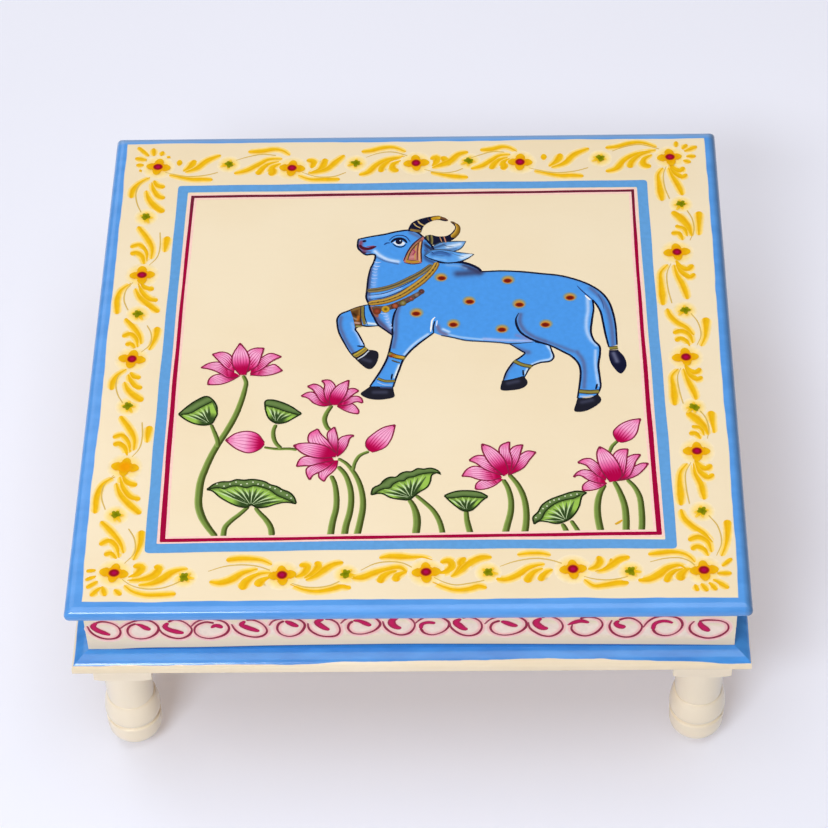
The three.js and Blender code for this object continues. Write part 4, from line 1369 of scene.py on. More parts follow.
# Each lotus is its base and its petals from the hindmost: tip, one edge and the other, base to tip.
LOTUSES = {
    "left": ((243, 375), [
        ((207.6, 384.5), [(240, 375.5), (230, 381), (220, 384)],
         [(236, 373), (220, 374), (214, 375), (209, 379)]),
        ((200.8, 367.5), [(237, 377), (228, 377.5), (220, 373), (210, 369)],
         [(234, 371), (226, 367), (219, 362), (209, 363)]),
        ((212.3, 354), [(234, 372), (225, 367), (219, 361)],
         [(236, 366), (233, 360), (230, 354.5), (222, 351.8)]),
        ((282.6, 370.5), [(250, 375), (265, 375.5), (275, 373.5)], [(254, 370), (268, 366), (274, 364.3)]),
        ((281.5, 356.6), [(250, 374), (262, 369), (272, 361)], [(252, 366), (262, 357.5), (270.5, 353.3)]),
        ((264, 348), [(247, 372), (257, 366), (262, 354)], [(244, 362), (247.5, 352), (254, 348.5)]),
        ((240, 343), [(240, 375), (233, 366), (232.5, 356)], [(246, 375), (249.7, 361.5), (247, 352)]),
    ]),
    "small": ((334, 405), [
        ((358, 413.7), [(337, 406), (343, 409.5), (351, 412.5)],
         [(338, 403), (353, 404), (357, 407.5), (359, 411)]),
        ((362.8, 402.7), [(338, 406), (350, 404), (356, 401.5)],
         [(338, 402), (354, 396), (359, 396.5), (362, 399)]),
        ((358.8, 390.7), [(337, 404), (346, 400), (353, 394.5)], [(338, 399), (350, 388.5), (355, 388.5)]),
        ((301, 396), [(331, 405), (323, 406), (314, 403), (308, 398)],
         [(328, 401), (316, 394), (312, 392), (307, 392.5)]),
        ((307.4, 386.3), [(332, 405), (322, 402), (317, 396), (313, 390)],
         [(330, 400), (324, 390), (320, 386), (314, 384)]),
        ((321.6, 380.6), [(333, 405), (327, 401), (324, 392), (324.5, 384)],
         [(334, 398), (335, 385.5), (329, 380)]),
        ((349, 380), [(332, 405), (329.5, 402), (331, 393.4), (338, 385.3)],
         [(338, 405), (343, 399), (346.5, 393), (348, 387)]),
    ]),
    "middle": ((336, 457), [
        ((324, 481.3), [(333, 460), (321, 468), (319, 472), (319, 477)],
         [(338, 460), (336, 468), (331, 473), (327, 476.5)]),
        ((309.6, 479.7), [(330, 460), (311, 465.5), (306.5, 468.5), (306.5, 474)],
         [(335, 461), (325, 469), (319, 472), (313, 475)]),
        ((296.5, 466.4), [(334, 460), (318, 463.5), (310, 465.5), (304, 465.5)],
         [(332, 457), (312, 456.5), (304, 456.5), (299, 460)]),
        ((354, 435.4), [(337, 456.5), (342, 453), (347, 446), (350, 438)],
         [(334, 452), (340, 438), (346, 435.5), (351, 434.8)]),
        ((334.5, 426.7), [(334, 455), (328, 439), (327.5, 433)], [(337, 455), (338, 444), (337, 435)]),
        ((317.7, 428.8), [(332, 455), (309.5, 443), (308, 438), (310, 433)],
         [(336, 453), (328, 441), (321, 434)]),
        ((293.3, 445.5), [(336, 456.5), (325, 458), (315, 457.5), (305, 454.5), (298, 450)],
         [(336, 453), (326, 446.3), (312, 443.3), (300, 443.5)]),
    ]),
    "tall": ((508, 474), [
        ((475.3, 489), [(503, 479), (493, 486), (483, 489)], [(498, 476), (480, 480.5), (476, 484)]),
        ((461.8, 476), [(502, 477), (492, 480), (480, 479.5), (470, 476.5)],
         [(498, 472), (481, 467), (474, 466), (467, 469)]),
        ((469, 460.2), [(502, 475), (492, 472), (483, 468), (476, 463)],
         [(503, 468), (483, 455.5), (475, 456)]),
        ((536, 452), [(508, 475), (516, 472), (524, 467), (530, 459)],
         [(508, 468), (522, 453.5), (528, 450.8)]),
        ((522.8, 444.5), [(509, 474), (514, 468), (518, 461), (521, 451)],
         [(506, 464), (510.5, 449.5), (515, 446)]),
        ((509.6, 441.7), [(507, 470), (499, 449), (502, 444.5)], [(511, 470), (512, 460), (509.5, 450)]),
        ((481.8, 443.8), [(504, 476), (499, 472), (492, 466), (486, 458), (482, 449)],
         [(509, 473), (507, 466), (504, 459), (498, 452), (490, 446.5)]),
    ]),
    "right": ((612, 480), [
        ((582.5, 490.3), [(607, 483), (600, 487.5), (591, 490)], [(603, 479), (589, 480.5), (583, 485)]),
        ((573.2, 476.5), [(606, 483), (600, 483), (588, 479.5), (580, 475)],
         [(604, 477), (590, 470.5), (584, 469.5), (578, 471.5)]),
        ((577.6, 462.2), [(606, 480), (600, 477), (591, 470), (586, 465)],
         [(607, 474), (596, 462), (590, 458.4), (583, 459)]),
        ((648.6, 463.2), [(614, 481), (627, 479), (637, 475), (644, 469)],
         [(618, 476), (637, 465), (642, 463)]),
        ((640.7, 454.4), [(616, 480), (628, 477), (633, 469), (636, 461)],
         [(618, 470), (628, 457), (634, 454.5)]),
        ((628, 449), [(619, 478), (623, 476), (626, 466), (627, 456)],
         [(612, 466), (614, 454), (620, 449.5)]),
        ((599.4, 446.5), [(610, 482), (607, 478), (602, 471), (598, 462), (597, 452)],
         [(617, 481), (622, 476), (619, 465), (613, 456), (606, 450)]),
    ]),
}

# A closed bud: its tip and its two edges, base to tip.
LOTUS_BUDS = [
    ((225.4, 439.8), [(264.4, 442), (257.4, 433.6), (248, 431), (235.7, 433.2)],
     [(264.4, 444), (259.7, 449), (249, 452.6), (238, 449.4), (230, 444)]),
    ((395.2, 424.4), [(370, 451), (366, 446.5), (366.5, 440), (374, 433), (384, 427)],
     [(372, 452), (376, 451), (385, 447), (391, 439), (394, 430)]),
    ((640.8, 418.3), [(618, 441.5), (615.5, 438.5), (613.2, 432), (620, 424.5), (630, 420)],
     [(620, 442), (624.5, 441.6), (632, 438.5), (637, 432), (639, 424)]),
]

# Stems from the flower down: line and widths in pixels.
STEMS = [
    ([(243, 375), (246, 382), (244.8, 389), (241.5, 400), (235.5, 415), (227, 430), (218.5, 443),
      (211.5, 455), (205.5, 468), (201, 480), (199, 492), (198.5, 505), (202, 517), (208, 527),
      (216, 537)], (3.5, 5, 5.5, 5.5, 6, 6.5, 6.5, 5)),
    ([(332, 405), (327, 412), (324.5, 419), (327, 427), (330, 430)], (3.5, 4.5, 4)),
    ([(331, 475), (334.5, 483), (336.4, 495), (336, 508), (332.5, 522), (330, 537)], (4, 5, 5.5, 6)),
    ([(338, 466), (345, 474), (350, 487), (351.2, 500), (349.5, 513), (346, 525), (344, 537)],
     (4, 5, 5.5, 6)),
    ([(338, 458), (346, 463), (353, 471), (359, 482), (362.4, 495), (362.8, 507), (360.5, 520),
      (356.5, 536.5)], (3, 4.5, 5.5, 6)),
    ([(503, 479), (508, 488), (511, 500), (510.6, 512), (507.5, 524), (504.5, 535.5)], (4, 5, 5.5, 6)),
    ([(509, 474), (517.5, 484), (523.5, 496), (526.2, 510), (526, 524), (524, 535.5)], (4, 5, 5.5, 6)),
    ([(605, 484), (600, 493), (597.5, 505), (598, 517), (601, 532)], (4, 5.5, 6, 6)),
    ([(614, 481), (619, 490), (624.3, 504), (626, 517), (626, 535)], (4, 5.5, 6, 6)),
    ([(627, 479), (634, 486), (639.5, 496), (641.6, 510), (642, 525), (641, 534)], (3.5, 5, 5.5, 5.5)),
    ([(264, 447), (275, 448.5), (290, 448.5), (297, 449.5)], (2.5, 3, 3)),
    ([(369, 451), (360, 455), (355, 462), (353, 470)], (3, 3.5, 3)),
    ([(618, 440), (612, 446), (609, 453)], (3, 3.5, 3)),
    ([(211, 424), (213.5, 430), (217, 439), (218, 447)], (3, 4, 4)),
    ([(276, 424), (273.5, 430), (273.5, 437), (276, 443), (281, 448)], (3.5, 4, 3.5)),
    ([(248.5, 506), (240, 513.5), (231, 520.5), (225, 527), (223, 537)], (3.5, 4.5, 5)),
    ([(255, 507), (259, 512), (266, 519.5), (270.5, 527), (272, 536)], (3.5, 5, 5.5)),
    ([(409, 499), (413, 505), (416, 513), (417, 522), (415.5, 535)], (4, 6.5, 6.5)),
    ([(416, 495), (425, 502.4), (433, 510), (439, 520), (442, 530), (442.5, 535)], (3.5, 4.5, 5)),
    ([(466, 510), (467, 520), (469.5, 530), (471, 535)], (4, 5, 5.5)),
    ([(562, 523), (565, 528), (567, 533)], (3.5, 4.5, 5)),
    ([(571, 520), (575, 526), (579, 532)], (3.5, 4, 4)),
]

# Leaves: outline from the left tip over the rim and back below, rim line, root of the veins.
LEAVES = [
    (
        [(178.5, 414), (187, 406.7), (196, 400.5), (206.5, 396.2), (212.9, 400), (216.8, 406.7),
         (217, 414.5)],
        [(217, 414.5), (211.3, 423.5), (203, 424.9), (191.5, 422.4), (183.5, 418), (178.5, 414)],
        [(181, 414.5), (190, 413), (200, 407.5), (212, 401.5)],
        (209.5, 423),
    ),
    (
        [(265.5, 410), (265.6, 400.7), (272, 399.8), (282.5, 402.5), (291.3, 406.5), (301.2, 413.4)],
        [(301.2, 413.4), (293.4, 418), (284.5, 422.4), (276.5, 423), (269, 418.3), (265.5, 410)],
        [(266, 405.5), (275, 407.5), (285, 411), (298, 414.5)],
        (276.5, 421.5),
    ),
    (
        [(206.8, 489.4), (214, 484), (222, 481.6), (230, 481.5), (236, 479.5), (244, 480), (251, 479.3),
         (259, 480), (266, 482), (270, 484.5), (277, 486.3), (282.5, 489.6), (289, 492), (294.5, 497.8),
         (296, 503.4)],
        [(296, 503.4), (286, 502), (277, 503.5), (265, 507), (256, 507), (251.5, 504.6), (247, 507),
         (240, 506.5), (231, 503.3), (220, 497), (212, 490.5), (206.8, 489.4)],
        [(208, 489), (217, 487.5), (224, 488.5), (232, 486), (240, 486), (246, 487.5), (254, 485.5),
         (262, 487), (270, 490), (277, 495), (286, 499), (293, 502)],
        (251, 505),
    ),
    (
        [(371.2, 494.7), (373, 488), (380, 484.5), (384, 480), (390, 477), (396, 477), (401, 473),
         (407, 471.5), (412, 471.5), (417, 468.5), (424, 469), (430, 468), (437, 470), (441.5, 474.6)],
        [(441.5, 474.6), (438, 472.5), (432, 474.6), (430, 482), (427, 487), (419, 492), (414, 496),
         (409, 499.5), (400, 499), (391, 497.5), (381, 493), (371.2, 494.7)],
        [(374, 493.5), (382, 489), (390, 487.5), (393, 484), (399, 481), (404, 480.5), (408, 477.5),
         (414, 476.5), (419, 474.5), (427, 473), (434, 472.5)],
        (411, 497),
    ),
    (
        [(444.3, 495.5), (450, 493), (458, 490.9), (466, 490.5), (474, 491), (482, 493), (487.6, 496.4)],
        [(487.6, 496.4), (482, 500.5), (476, 506.5), (471, 510.3), (463, 510.5), (456, 506), (450, 501),
         (444.3, 495.5)],
        [(447, 498), (455, 497.5), (463, 496.5), (473, 497), (484, 497.5)],
        (466.5, 509.5),
    ),
    (
        [(534.3, 524), (533, 517), (538, 512), (542, 505), (549, 500), (556, 497), (562, 495),
         (570, 492.3), (578, 491), (586.5, 492.4)],
        [(586.5, 492.4), (582, 496), (579.5, 505), (576, 512), (570, 518.5), (565.3, 521), (557, 523.4),
         (547, 521.5), (539, 521), (534.3, 524)],
        [(536, 521.5), (541, 519), (545, 512), (550, 507), (557, 502.5), (566, 499.5), (574, 498),
         (580, 495)],
        (566, 520),
    ),
]

# White dots along the rims of the two widest leaves.
RIM_DOTS = [
    [(217, 484), (224, 486), (230, 484), (236, 482), (241, 484.5), (247, 483.5), (253, 482), (258, 484),
     (263, 485), (270, 487), (275, 488.5), (281, 491), (287, 495), (291, 498)],
    [(536, 517.5), (540, 513), (543, 508.5), (547, 506), (550, 502), (554, 500), (559, 499), (565, 496),
     (571, 495), (577, 494)],
]


def along(line, share):
    """The place a share of the way along a line."""
    run = np.concatenate([[0], np.cumsum(np.linalg.norm(np.diff(line, axis=0), axis=1))])
    return np.array([np.interp(share * run[-1], run, line[:, k]) for k in range(2)])


PETAL_TONES = [CRIMSON, CRIMSON, CRIMSON, PINK_DEEP, PINK, PINK_PALE, PINK_PALE, PINK, PINK_DEEP]
BUD_TONES = [CRIMSON, CRIMSON, PINK_DEEP, PINK, PINK_PALE, PINK_PALE, PINK_PALE, PINK, PINK_DEEP]
STREAK_SIDES, STREAK_WIDTHS = (-0.62, -0.3, 0.05, 0.36, 0.66), (1.3, 0.8, 0.3)
STREAK_SHARES, STREAK_END_SHARE, STREAK_END_SLIP = (0.2, 0.5), 0.74, 0.14
PETAL_EDGE_WIDTHS = (1.0, 1.5, 1.6)
ROOT_MARK_SHARE, ROOT_MARK_WIDTHS = 0.12, (3.2, 1.2)
TIP_MARK_SHARE, TIP_MARK_WIDTHS = 0.08, (1.8, 0.8)
POND_COAT, RIM_DOT_COAT = 3, 10
STEM_TONES = [STEM_DARK, STEM_DARK, STEM, STEM, STEM_LIGHT]
STEM_BOLDNESS = 1.18
LEAF_TONES = [LEAF_DARK, LEAF_DARK, LEAF_LIME, LEAF_LIME, LEAF_LIME, LEAF_RIM]
RIM_TONES = [LEAF_DARK, LEAF_RIM, LEAF_RIM, LEAF_DARK]
LIP_SHADE_REACH, LIP_SHADE_SHARE, RIM_SHADE_REACH = 0.0010, 0.6, 0.0045
LEAF_EDGE_PX, LEAF_RIM_PX = 1.7, 1.2
VEIN_STEP, VEIN_BEND, VEIN_ROOT_SHARE = 0.0040, 0.0012, 0.15

# A leaf's folds and veins: share of the way to the next, widths in pixels, colours, and gap to the rim.
LEAF_LINES = (
    (0.62, (1.0, 3.0, 0.9), [LEAF_DARK, LEAF_DARK, LEAF_RIM], 0.14),
    (0.12, (1.1, 1.7, 1.1), [LEAF_PALE, LEAF_PALE, LEAF_PALE, LEAF_LIME], 0.04),
)
RIM_DOT_RADIUS = 0.0004

# The one yellow dash beside the stems.
YELLOW_DASH, YELLOW_DASH_WIDTHS = [(615, 524), (619, 522), (622.5, 519.5)], (2.2, 3, 1.4)


def petal(paint, base, tip, one, other, coat, tones):
    """A petal, pink at its tip, pale above its middle and crimson towards its base, with fine streaks."""
    one, other = spline(top(*one, tip)), spline(top(*other, tip))
    edge = np.vstack([one, other[::-1][1:]])
    root, end = top(base)[0], one[-1]
    reach = np.linalg.norm(end - root)

    def tint(spots):
        return blend(np.clip(((spots - root) @ (end - root)) / reach**2, 0, 1), tones)

    def streak(aside, share):
        return along(one, share) * (0.5 + aside / 2) + along(other, share) * (0.5 - aside / 2)

    paint.fill(edge, tint, coat, PETAL_GRAIN)
    start = (one[0] + other[0]) / 2
    for aside in STREAK_SIDES:
        shares = (*STREAK_SHARES, STREAK_END_SHARE + random.uniform(0, STREAK_END_SLIP))
        line = [streak(aside, share) for share in shares]
        paint.stroke(line, np.array(STREAK_WIDTHS) * PX, [CRIMSON, PINK_LINE, PINK_LINE], coat + 1)
    for side in (one, other):
        line = side[:: max(1, len(side) // 12)].tolist() + [end]
        paint.stroke(line, np.array(PETAL_EDGE_WIDTHS) * PX, PETAL_INK, coat + 1)
    root_mark, tip_mark = start + (end - start) * ROOT_MARK_SHARE, end + (start - end) * TIP_MARK_SHARE
    paint.stroke([start, root_mark], np.array(ROOT_MARK_WIDTHS) * PX, CRIMSON, coat + 1)
    paint.stroke([tip_mark, end], np.array(TIP_MARK_WIDTHS) * PX, PETAL_INK, coat + 1)


def stem(paint, line, widths, coat):
    """A stem, lit on its left and dark on its right."""
    points = top(*line)
    tones = STEM_TONES[::-1] if points[-1][1] > points[0][1] else STEM_TONES
    paint.stroke(points, np.array(widths) * STEM_BOLDNESS * PX, None, coat, across=tones)


def leaf(paint, upper, lower, rim, root, coat):
    """A lotus leaf seen from the side: lime bowl with dark folds and pale veins, its dark rim above."""
    edge = outline(top(*upper), top(*lower))
    lip = spline(top(*rim))
    middle = top(root)[0]
    far = np.linalg.norm(edge - middle, axis=1).max()

    def bowl_tint(spots):
        share = np.clip(np.linalg.norm(spots - middle, axis=1) / far, 0, 1)
        near_lip = LIP_SHADE_SHARE * np.exp(-((away(spots, lip) / LIP_SHADE_REACH) ** 2))[:, None]
        return blend(share, LEAF_TONES) * (1 - near_lip) + np.array(LEAF_DARK) * near_lip

    def rim_tint(spots):
        return blend(np.clip(away(spots, lip) / RIM_SHADE_REACH, 0, 1), RIM_TONES)

    paint.fill(edge, bowl_tint, coat, LEAF_GRAIN)
    paint.fill(np.vstack([lip, spline(top(*upper))[::-1]]), rim_tint, coat + 1)
    count = max(5, int(np.linalg.norm(lip[-1] - lip[0]) / VEIN_STEP))
    for k in range(count):
        bend = np.array([0, VEIN_BEND]) * (1 - abs(2 * (k + 0.5) / count - 1))
        for number, (share, widths, tints, above) in enumerate(LEAF_LINES):
            end = along(lip, (k + share) / (count + 0.2))
            mid = (middle + end) / 2 + bend
            line = [middle + (mid - middle) * VEIN_ROOT_SHARE, mid, end + (middle - end) * above]
            lift = (2 * k + 1 - number) % 4
            paint.stroke(line, np.array(widths) * PX, tints, coat + 2 + lift)
    closed = np.vstack([edge, edge[:1]])
    paint.stroke(closed[::3].tolist() + [edge[0]], LEAF_EDGE_PX * PX, LEAF_INK, coat + 6)
    paint.stroke(top(*rim), LEAF_RIM_PX * PX, LEAF_INK, coat + 6)


def pond(material):
    paint = Paint("lotus_pond", "cream_paint")
    for k, (line, widths) in enumerate(STEMS):
        stem(paint, line, widths, k % 2)
    for lines in LEAVES:
        leaf(paint, *lines, POND_COAT)
    for dots in RIM_DOTS:
        for spot in top(*dots):
            paint.dot(spot, RIM_DOT_RADIUS, RIM_DOT, RIM_DOT_COAT)
    for base, petals in LOTUSES.values():
        for k, lines in enumerate(petals):
            petal(paint, base, *lines, POND_COAT + 2 * k, PETAL_TONES)
    for tip, one, other in LOTUS_BUDS:
        petal(paint, one[0], tip, one, other, POND_COAT, BUD_TONES)
    paint.mark(YELLOW_DASH, YELLOW_DASH_WIDTHS, YELLOW_LINE, POND_COAT)
    paint.piece(material)


# The cow, in photo points. Tables named SHADES hold soft brushing: line, reach in pixels, colour, strength.
# Tables named LINES, TRIM, EDGES and SHADOWS hold fine lines: points, width in pixels and colour.

LIMB_EDGE_PX, GLEAM_PX = 1.9, 2.4

MUZZLE = [(370.3, 268.5), (374.5, 260), (375, 254.5), (371, 254), (366, 254.5), (360, 250), (358.2, 248),
          (357.7, 243), (358.7, 239), (360, 238.5)]
BROW = [(360, 238.5), (370, 236.5), (385, 234), (395, 231.7), (408, 230), (416, 231.5), (422, 235.7),
        (432, 246), (438, 262)]
HUMP = [(438, 262), (445, 262.5), (452, 262), (462.5, 262.2), (472, 265), (479, 268.6), (481.3, 271.4)]
BACK = [(481.3, 271.4), (490, 271), (500, 270.6), (520, 271.3), (540, 273.2), (560, 275.3), (575, 279),
        (588, 283.8), (600, 291), (608, 300), (612.7, 311.5), (615.6, 325.4), (617, 344.5)]
TAIL_INNER = [(609, 347), (606, 336), (603, 322), (600.5, 311.3), (596, 303.5), (592.5, 299.4)]
NEAR_HIND_BACK = [(592.5, 299.4), (593.6, 308), (592, 319.6), (591, 332), (594.2, 340.4), (599.5, 346),
                  (600, 353), (598.4, 365), (600, 378.5), (600.6, 386.5), (597, 395)]
NEAR_HIND_FRONT = [(577.5, 398), (579.5, 385.4), (580.6, 371), (578.6, 363.5), (572.3, 356.5),
                   (563, 351.3), (548, 344.4), (535, 341.5)]
BELLY = [(535, 341.5), (525, 342.5), (509, 343.4), (500, 342.3), (480, 341), (465, 340), (455, 337.7),
         (441, 335), (433.7, 332.5)]
NEAR_FORE_BACK = [(433.7, 332.5), (426, 338), (416.5, 345.2), (409.6, 351.5), (403.4, 359.2), (399, 370),
                  (395.7, 378.7), (393, 387)]
NEAR_FORE_FRONT = [(370, 386), (377.5, 375.3), (383.8, 365), (388, 355.6), (390.5, 345.7), (392.6, 335)]
DEWLAP = [(392.6, 335), (385.6, 330), (378, 324.3), (374, 317), (370, 309), (369, 304), (366.3, 297.5),
          (367, 290), (368.2, 278), (370.3, 268.5)]
BODY_RUNS = [MUZZLE, BROW, HUMP, BACK, [(617, 344.5), (609, 347)], TAIL_INNER, NEAR_HIND_BACK,
             [(597, 395), (577.5, 398)], NEAR_HIND_FRONT, BELLY, NEAR_FORE_BACK, [(393, 387), (370, 386)],
             NEAR_FORE_FRONT, DEWLAP]
FLANK_FOLD = [(518.6, 312.7), (515.8, 319.6), (519.8, 331), (529.6, 338), (540, 342), (548, 344.4)]
SHOULDER_FOLD = [(398, 306), (394.3, 313.7), (392.4, 324.2), (392.6, 335)]

FAR_HIND_RUNS = [
    [(505, 342), (509, 343.4), (522.7, 351.3), (525, 352.5), (519.2, 357.7), (514.6, 360.6),
     (507.1, 370.4), (504.2, 377.3), (502, 388.3)],
    [(502, 388.3), (523, 380)],
    [(523, 380), (526, 374), (531.3, 366), (540, 362.3), (550.5, 360.6), (553.8, 356.5), (552, 351),
     (548, 340)],
    [(548, 340), (505, 340)],
]
RAISED_RUNS = [
    [(376, 304), (368, 304.5), (358.4, 306.6), (348.5, 310.5), (340.8, 313.7), (337.3, 318.3),
     (337.3, 324.6), (339, 332.3), (343.6, 341.5), (349.2, 351), (354.2, 357.4)],
    [(354.2, 357.4), (365, 348)],
    [(365, 348), (364, 344.3), (361.2, 338.7), (358, 333), (355.2, 328.4), (361, 325.5), (368, 326),
     (380, 325.3)],
    [(380, 325.3), (376, 304)],
]
HOOVES = [
    [[(351, 353.5), (354.2, 357.4), (359.8, 363), (366.9, 368.3), (371, 368.7), (375.8, 364),
      (378.6, 355.6), (377.4, 351.4), (373, 349.8), (367.5, 349.4), (364, 347)],
     [(364, 347), (351, 353.5)]],
    [[(370, 386), (366, 389), (360.5, 393.6), (366, 397.5), (374, 399.3), (385, 399), (394.2, 396.5),
      (393.8, 391), (393, 386.5)], [(393, 386.5), (370, 386)]],
    [[(502, 380.5), (501, 389.5), (512, 390), (522, 388), (526.7, 384.8), (527.5, 381), (523.5, 375.6)],
     [(523.5, 375.6), (513, 378.5), (502, 380.5)]],
    [[(577.5, 397.5), (576, 403), (574.6, 410.8), (583, 411.3), (592, 408), (600.6, 401.5), (601, 398),
      (597.6, 393.5)], [(597.6, 393.5), (590, 397.3), (577.5, 397.5)]],
]
HOOF_GLEAMS = [
    [(363, 359), (370, 361)],
    [(374, 392), (386, 392)],
    [(508, 383), (518, 381)],
    [(582, 402), (592, 400)],
]
LEG_BANDS = [
    ([(388.8, 353.2), (396, 356.2), (405, 358)], 6.0),
    ([(377.5, 378.2), (385, 380.8), (394.8, 380.8)], 3.6),
    ([(514, 360.6), (522, 364.4), (531.6, 366.4)], 5.0),
    ([(579.2, 391), (590, 391.8), (598.8, 391.2)], 5.6),
    ([(609.3, 348), (617.8, 347.2)], 4.6),
    ([(353.6, 355.6), (360, 352), (366.6, 347.6)], 5.6),
]
TUFT = [(609, 350), (609, 357), (612.7, 365.8), (620.8, 373.3), (626.5, 366), (624.5, 357), (618, 349.5)]

FRONT_HORN = [[(408, 231), (408, 229.5), (412, 222.5), (420, 218.8), (431, 216.3), (440, 215.7),
               (448, 220.4)], [(448, 220.4), (446, 221), (437, 219.7), (430, 221.7), (424, 225.7),
                               (421, 232.5)], [(421, 232.5), (408, 231)]]
REAR_HORN = [[(424, 237), (430, 244), (436, 244.5), (445, 243), (452, 240), (458, 235), (460.5, 228.6),
              (458, 223.8), (450, 221.3)], [(450, 221.3), (455, 226.6), (453, 231), (447, 235.3),
                                            (438, 236), (430, 234.4), (425, 235.5)]]
NEAR_EAR = [[(424.5, 255), (428, 257.5), (437, 260.7), (447, 262.7), (460, 261.3), (468, 258), (474, 254)],
            [(474, 254), (459, 252.3), (450, 250.5), (440, 249.5), (430, 250.5), (424.5, 255)]]
FAR_EAR = [[(430, 248), (433, 246), (440, 242.5), (452, 241.2), (466, 241)],
           [(466, 241), (461, 248), (455, 250.5), (440, 251.5), (430, 248)]]
CHEEK = [(423, 236), (414, 243), (408, 251), (403.5, 261), (412, 263.5), (421.5, 262.5), (421, 255),
         (421.5, 246), (424, 238)]
UPPER_NECKLACE = [(367.3, 290.6), (380, 289.3), (395, 285.3), (409.6, 278.7), (421.2, 272.5), (432, 264.5)]
LOWER_NECKLACE = [(368.5, 303.3), (385.6, 300.6), (400, 295.3), (411.5, 288.2), (424, 279), (433.5, 269),
                  (437.3, 262)]

# The necklace's medallions: middle, radius in pixels and colours from the middle out.
MEDALLIONS = [
    ((377, 311), 4.2, [RUSSET, (132, 52, 36), BROWN]),
    ((385.6, 309), 4.4, [(72, 66, 8), (150, 112, 10), (206, 160, 40), (120, 104, 70)]),
    ((395, 305.6), 3.8, [(176, 96, 72), RUSSET, (60, 36, 34)]),
    ((403, 302.8), 3.6, [(150, 140, 120), OLIVE, (74, 64, 52)]),
    ((411, 298.4), 3.4, [(190, 96, 96), (112, 60, 50), (96, 84, 74)]),
    ((416.6, 294.6), 2.8, [(150, 130, 120), (92, 76, 64)]),
    ((421.5, 291.3), 3.2, [(140, 74, 70), (70, 44, 44), (100, 84, 80)]),
]
PRINTS = [(441, 277), (508, 279.5), (469, 300.5), (519, 303.5), (570, 296.5), (416.5, 312.5),
          (453.5, 323.5), (502, 328.5), (546, 323.5)]


def shape(runs):
    return outline(*[top(*run) for run in runs])


def shaded(base, brushed):
    """A colouring: the base, and lines softly brushed over it, each with its reach, colour and strength."""
    lines = [
        (spline(top(*line)), reach * PX, np.array(colour, float), strength)
        for line, reach, colour, strength in brushed
    ]

    def tint(spots):
        tints = np.broadcast_to(np.array(base, float), (len(spots), 3)).copy()
        for line, reach, colour, strength in lines:
            weight = strength * np.exp(-((away(spots, line) / reach) ** 2))[:, None]
            tints += (colour - tints) * weight
        return tints

    return tint


def ink(paint, coat, lines, ends=(0.5, 0.5)):
    """Fine brush lines, thinner towards their ends: each its points, its width in pixels and its colour."""
    for points, width, tint in lines:
        paint.mark(points, np.array([ends[0], 1, 1, 1, ends[1]]) * width, tint, coat)


FAR_HIND_SHADES = [
    ([(508, 344), (518, 348.5), (528, 352)], 3.0, COW_SHADE, 0.9),
    ([(505, 378), (508, 370), (514, 363)], 2.0, COW_SHADE, 0.7),
    ([(547, 345), (551.5, 352), (551, 358), (540, 360.8), (532, 364)], 1.3, COW_LIGHT, 0.95),
    ([(527.5, 368.5), (525, 373)], 1.3, WHITE, 0.8),
]
RAISED_SHADES = [
    ([(341, 317), (340, 324.5), (343, 334), (348, 344), (354, 353)], 2.2, COW_SHADE, 0.95),
    ([(356, 330), (359.5, 336.5), (362.3, 343.5)], 2.2, (188, 208, 250), 0.95),
    ([(352, 323), (354, 330)], 1.8, (150, 190, 245), 0.6),
    ([(367.5, 322.8), (376, 323.8)], 1.5, WHITE, 0.9),
]
FAR_EAR_SHADES = [
    ([(448, 246.6), (460, 243.8)], 2.6, EAR_PALE, 0.9),
    ([(434, 247.6), (444, 244.4)], 1.8, (52, 78, 122), 0.8),
    ([(444, 249.6), (456, 248.4)], 1.2, (62, 96, 150), 0.7),
]
FAR_EAR_LINES = [
    (FAR_EAR[0], 1.4, (58, 70, 82)),
    (FAR_EAR[1], 1.4, (58, 70, 82)),
    ([(442, 243.4), (447, 246), (454, 246.4)], 0.8, (70, 92, 124)),
]


def far_side(paint, coat=1):
    """The far hind leg, the raised foreleg, the far ear and the rear horn, all below the body."""
    for runs, shades in ((FAR_HIND_RUNS, FAR_HIND_SHADES), (RAISED_RUNS, RAISED_SHADES)):
        paint.fill(shape(runs), shaded(COW_BLUE, shades), coat, LIMB_GRAIN)
        ink(paint, coat + 1, [(runs[0], LIMB_EDGE_PX, INK), (runs[2], LIMB_EDGE_PX, INK)])
    paint.fill(shape(REAR_HORN), INK, coat)
    paint.fill(shape(FAR_EAR), shaded(FAR_EAR_BLUE, FAR_EAR_SHADES), coat + 1, EAR_GRAIN)
    ink(paint, coat + 2, FAR_EAR_LINES)


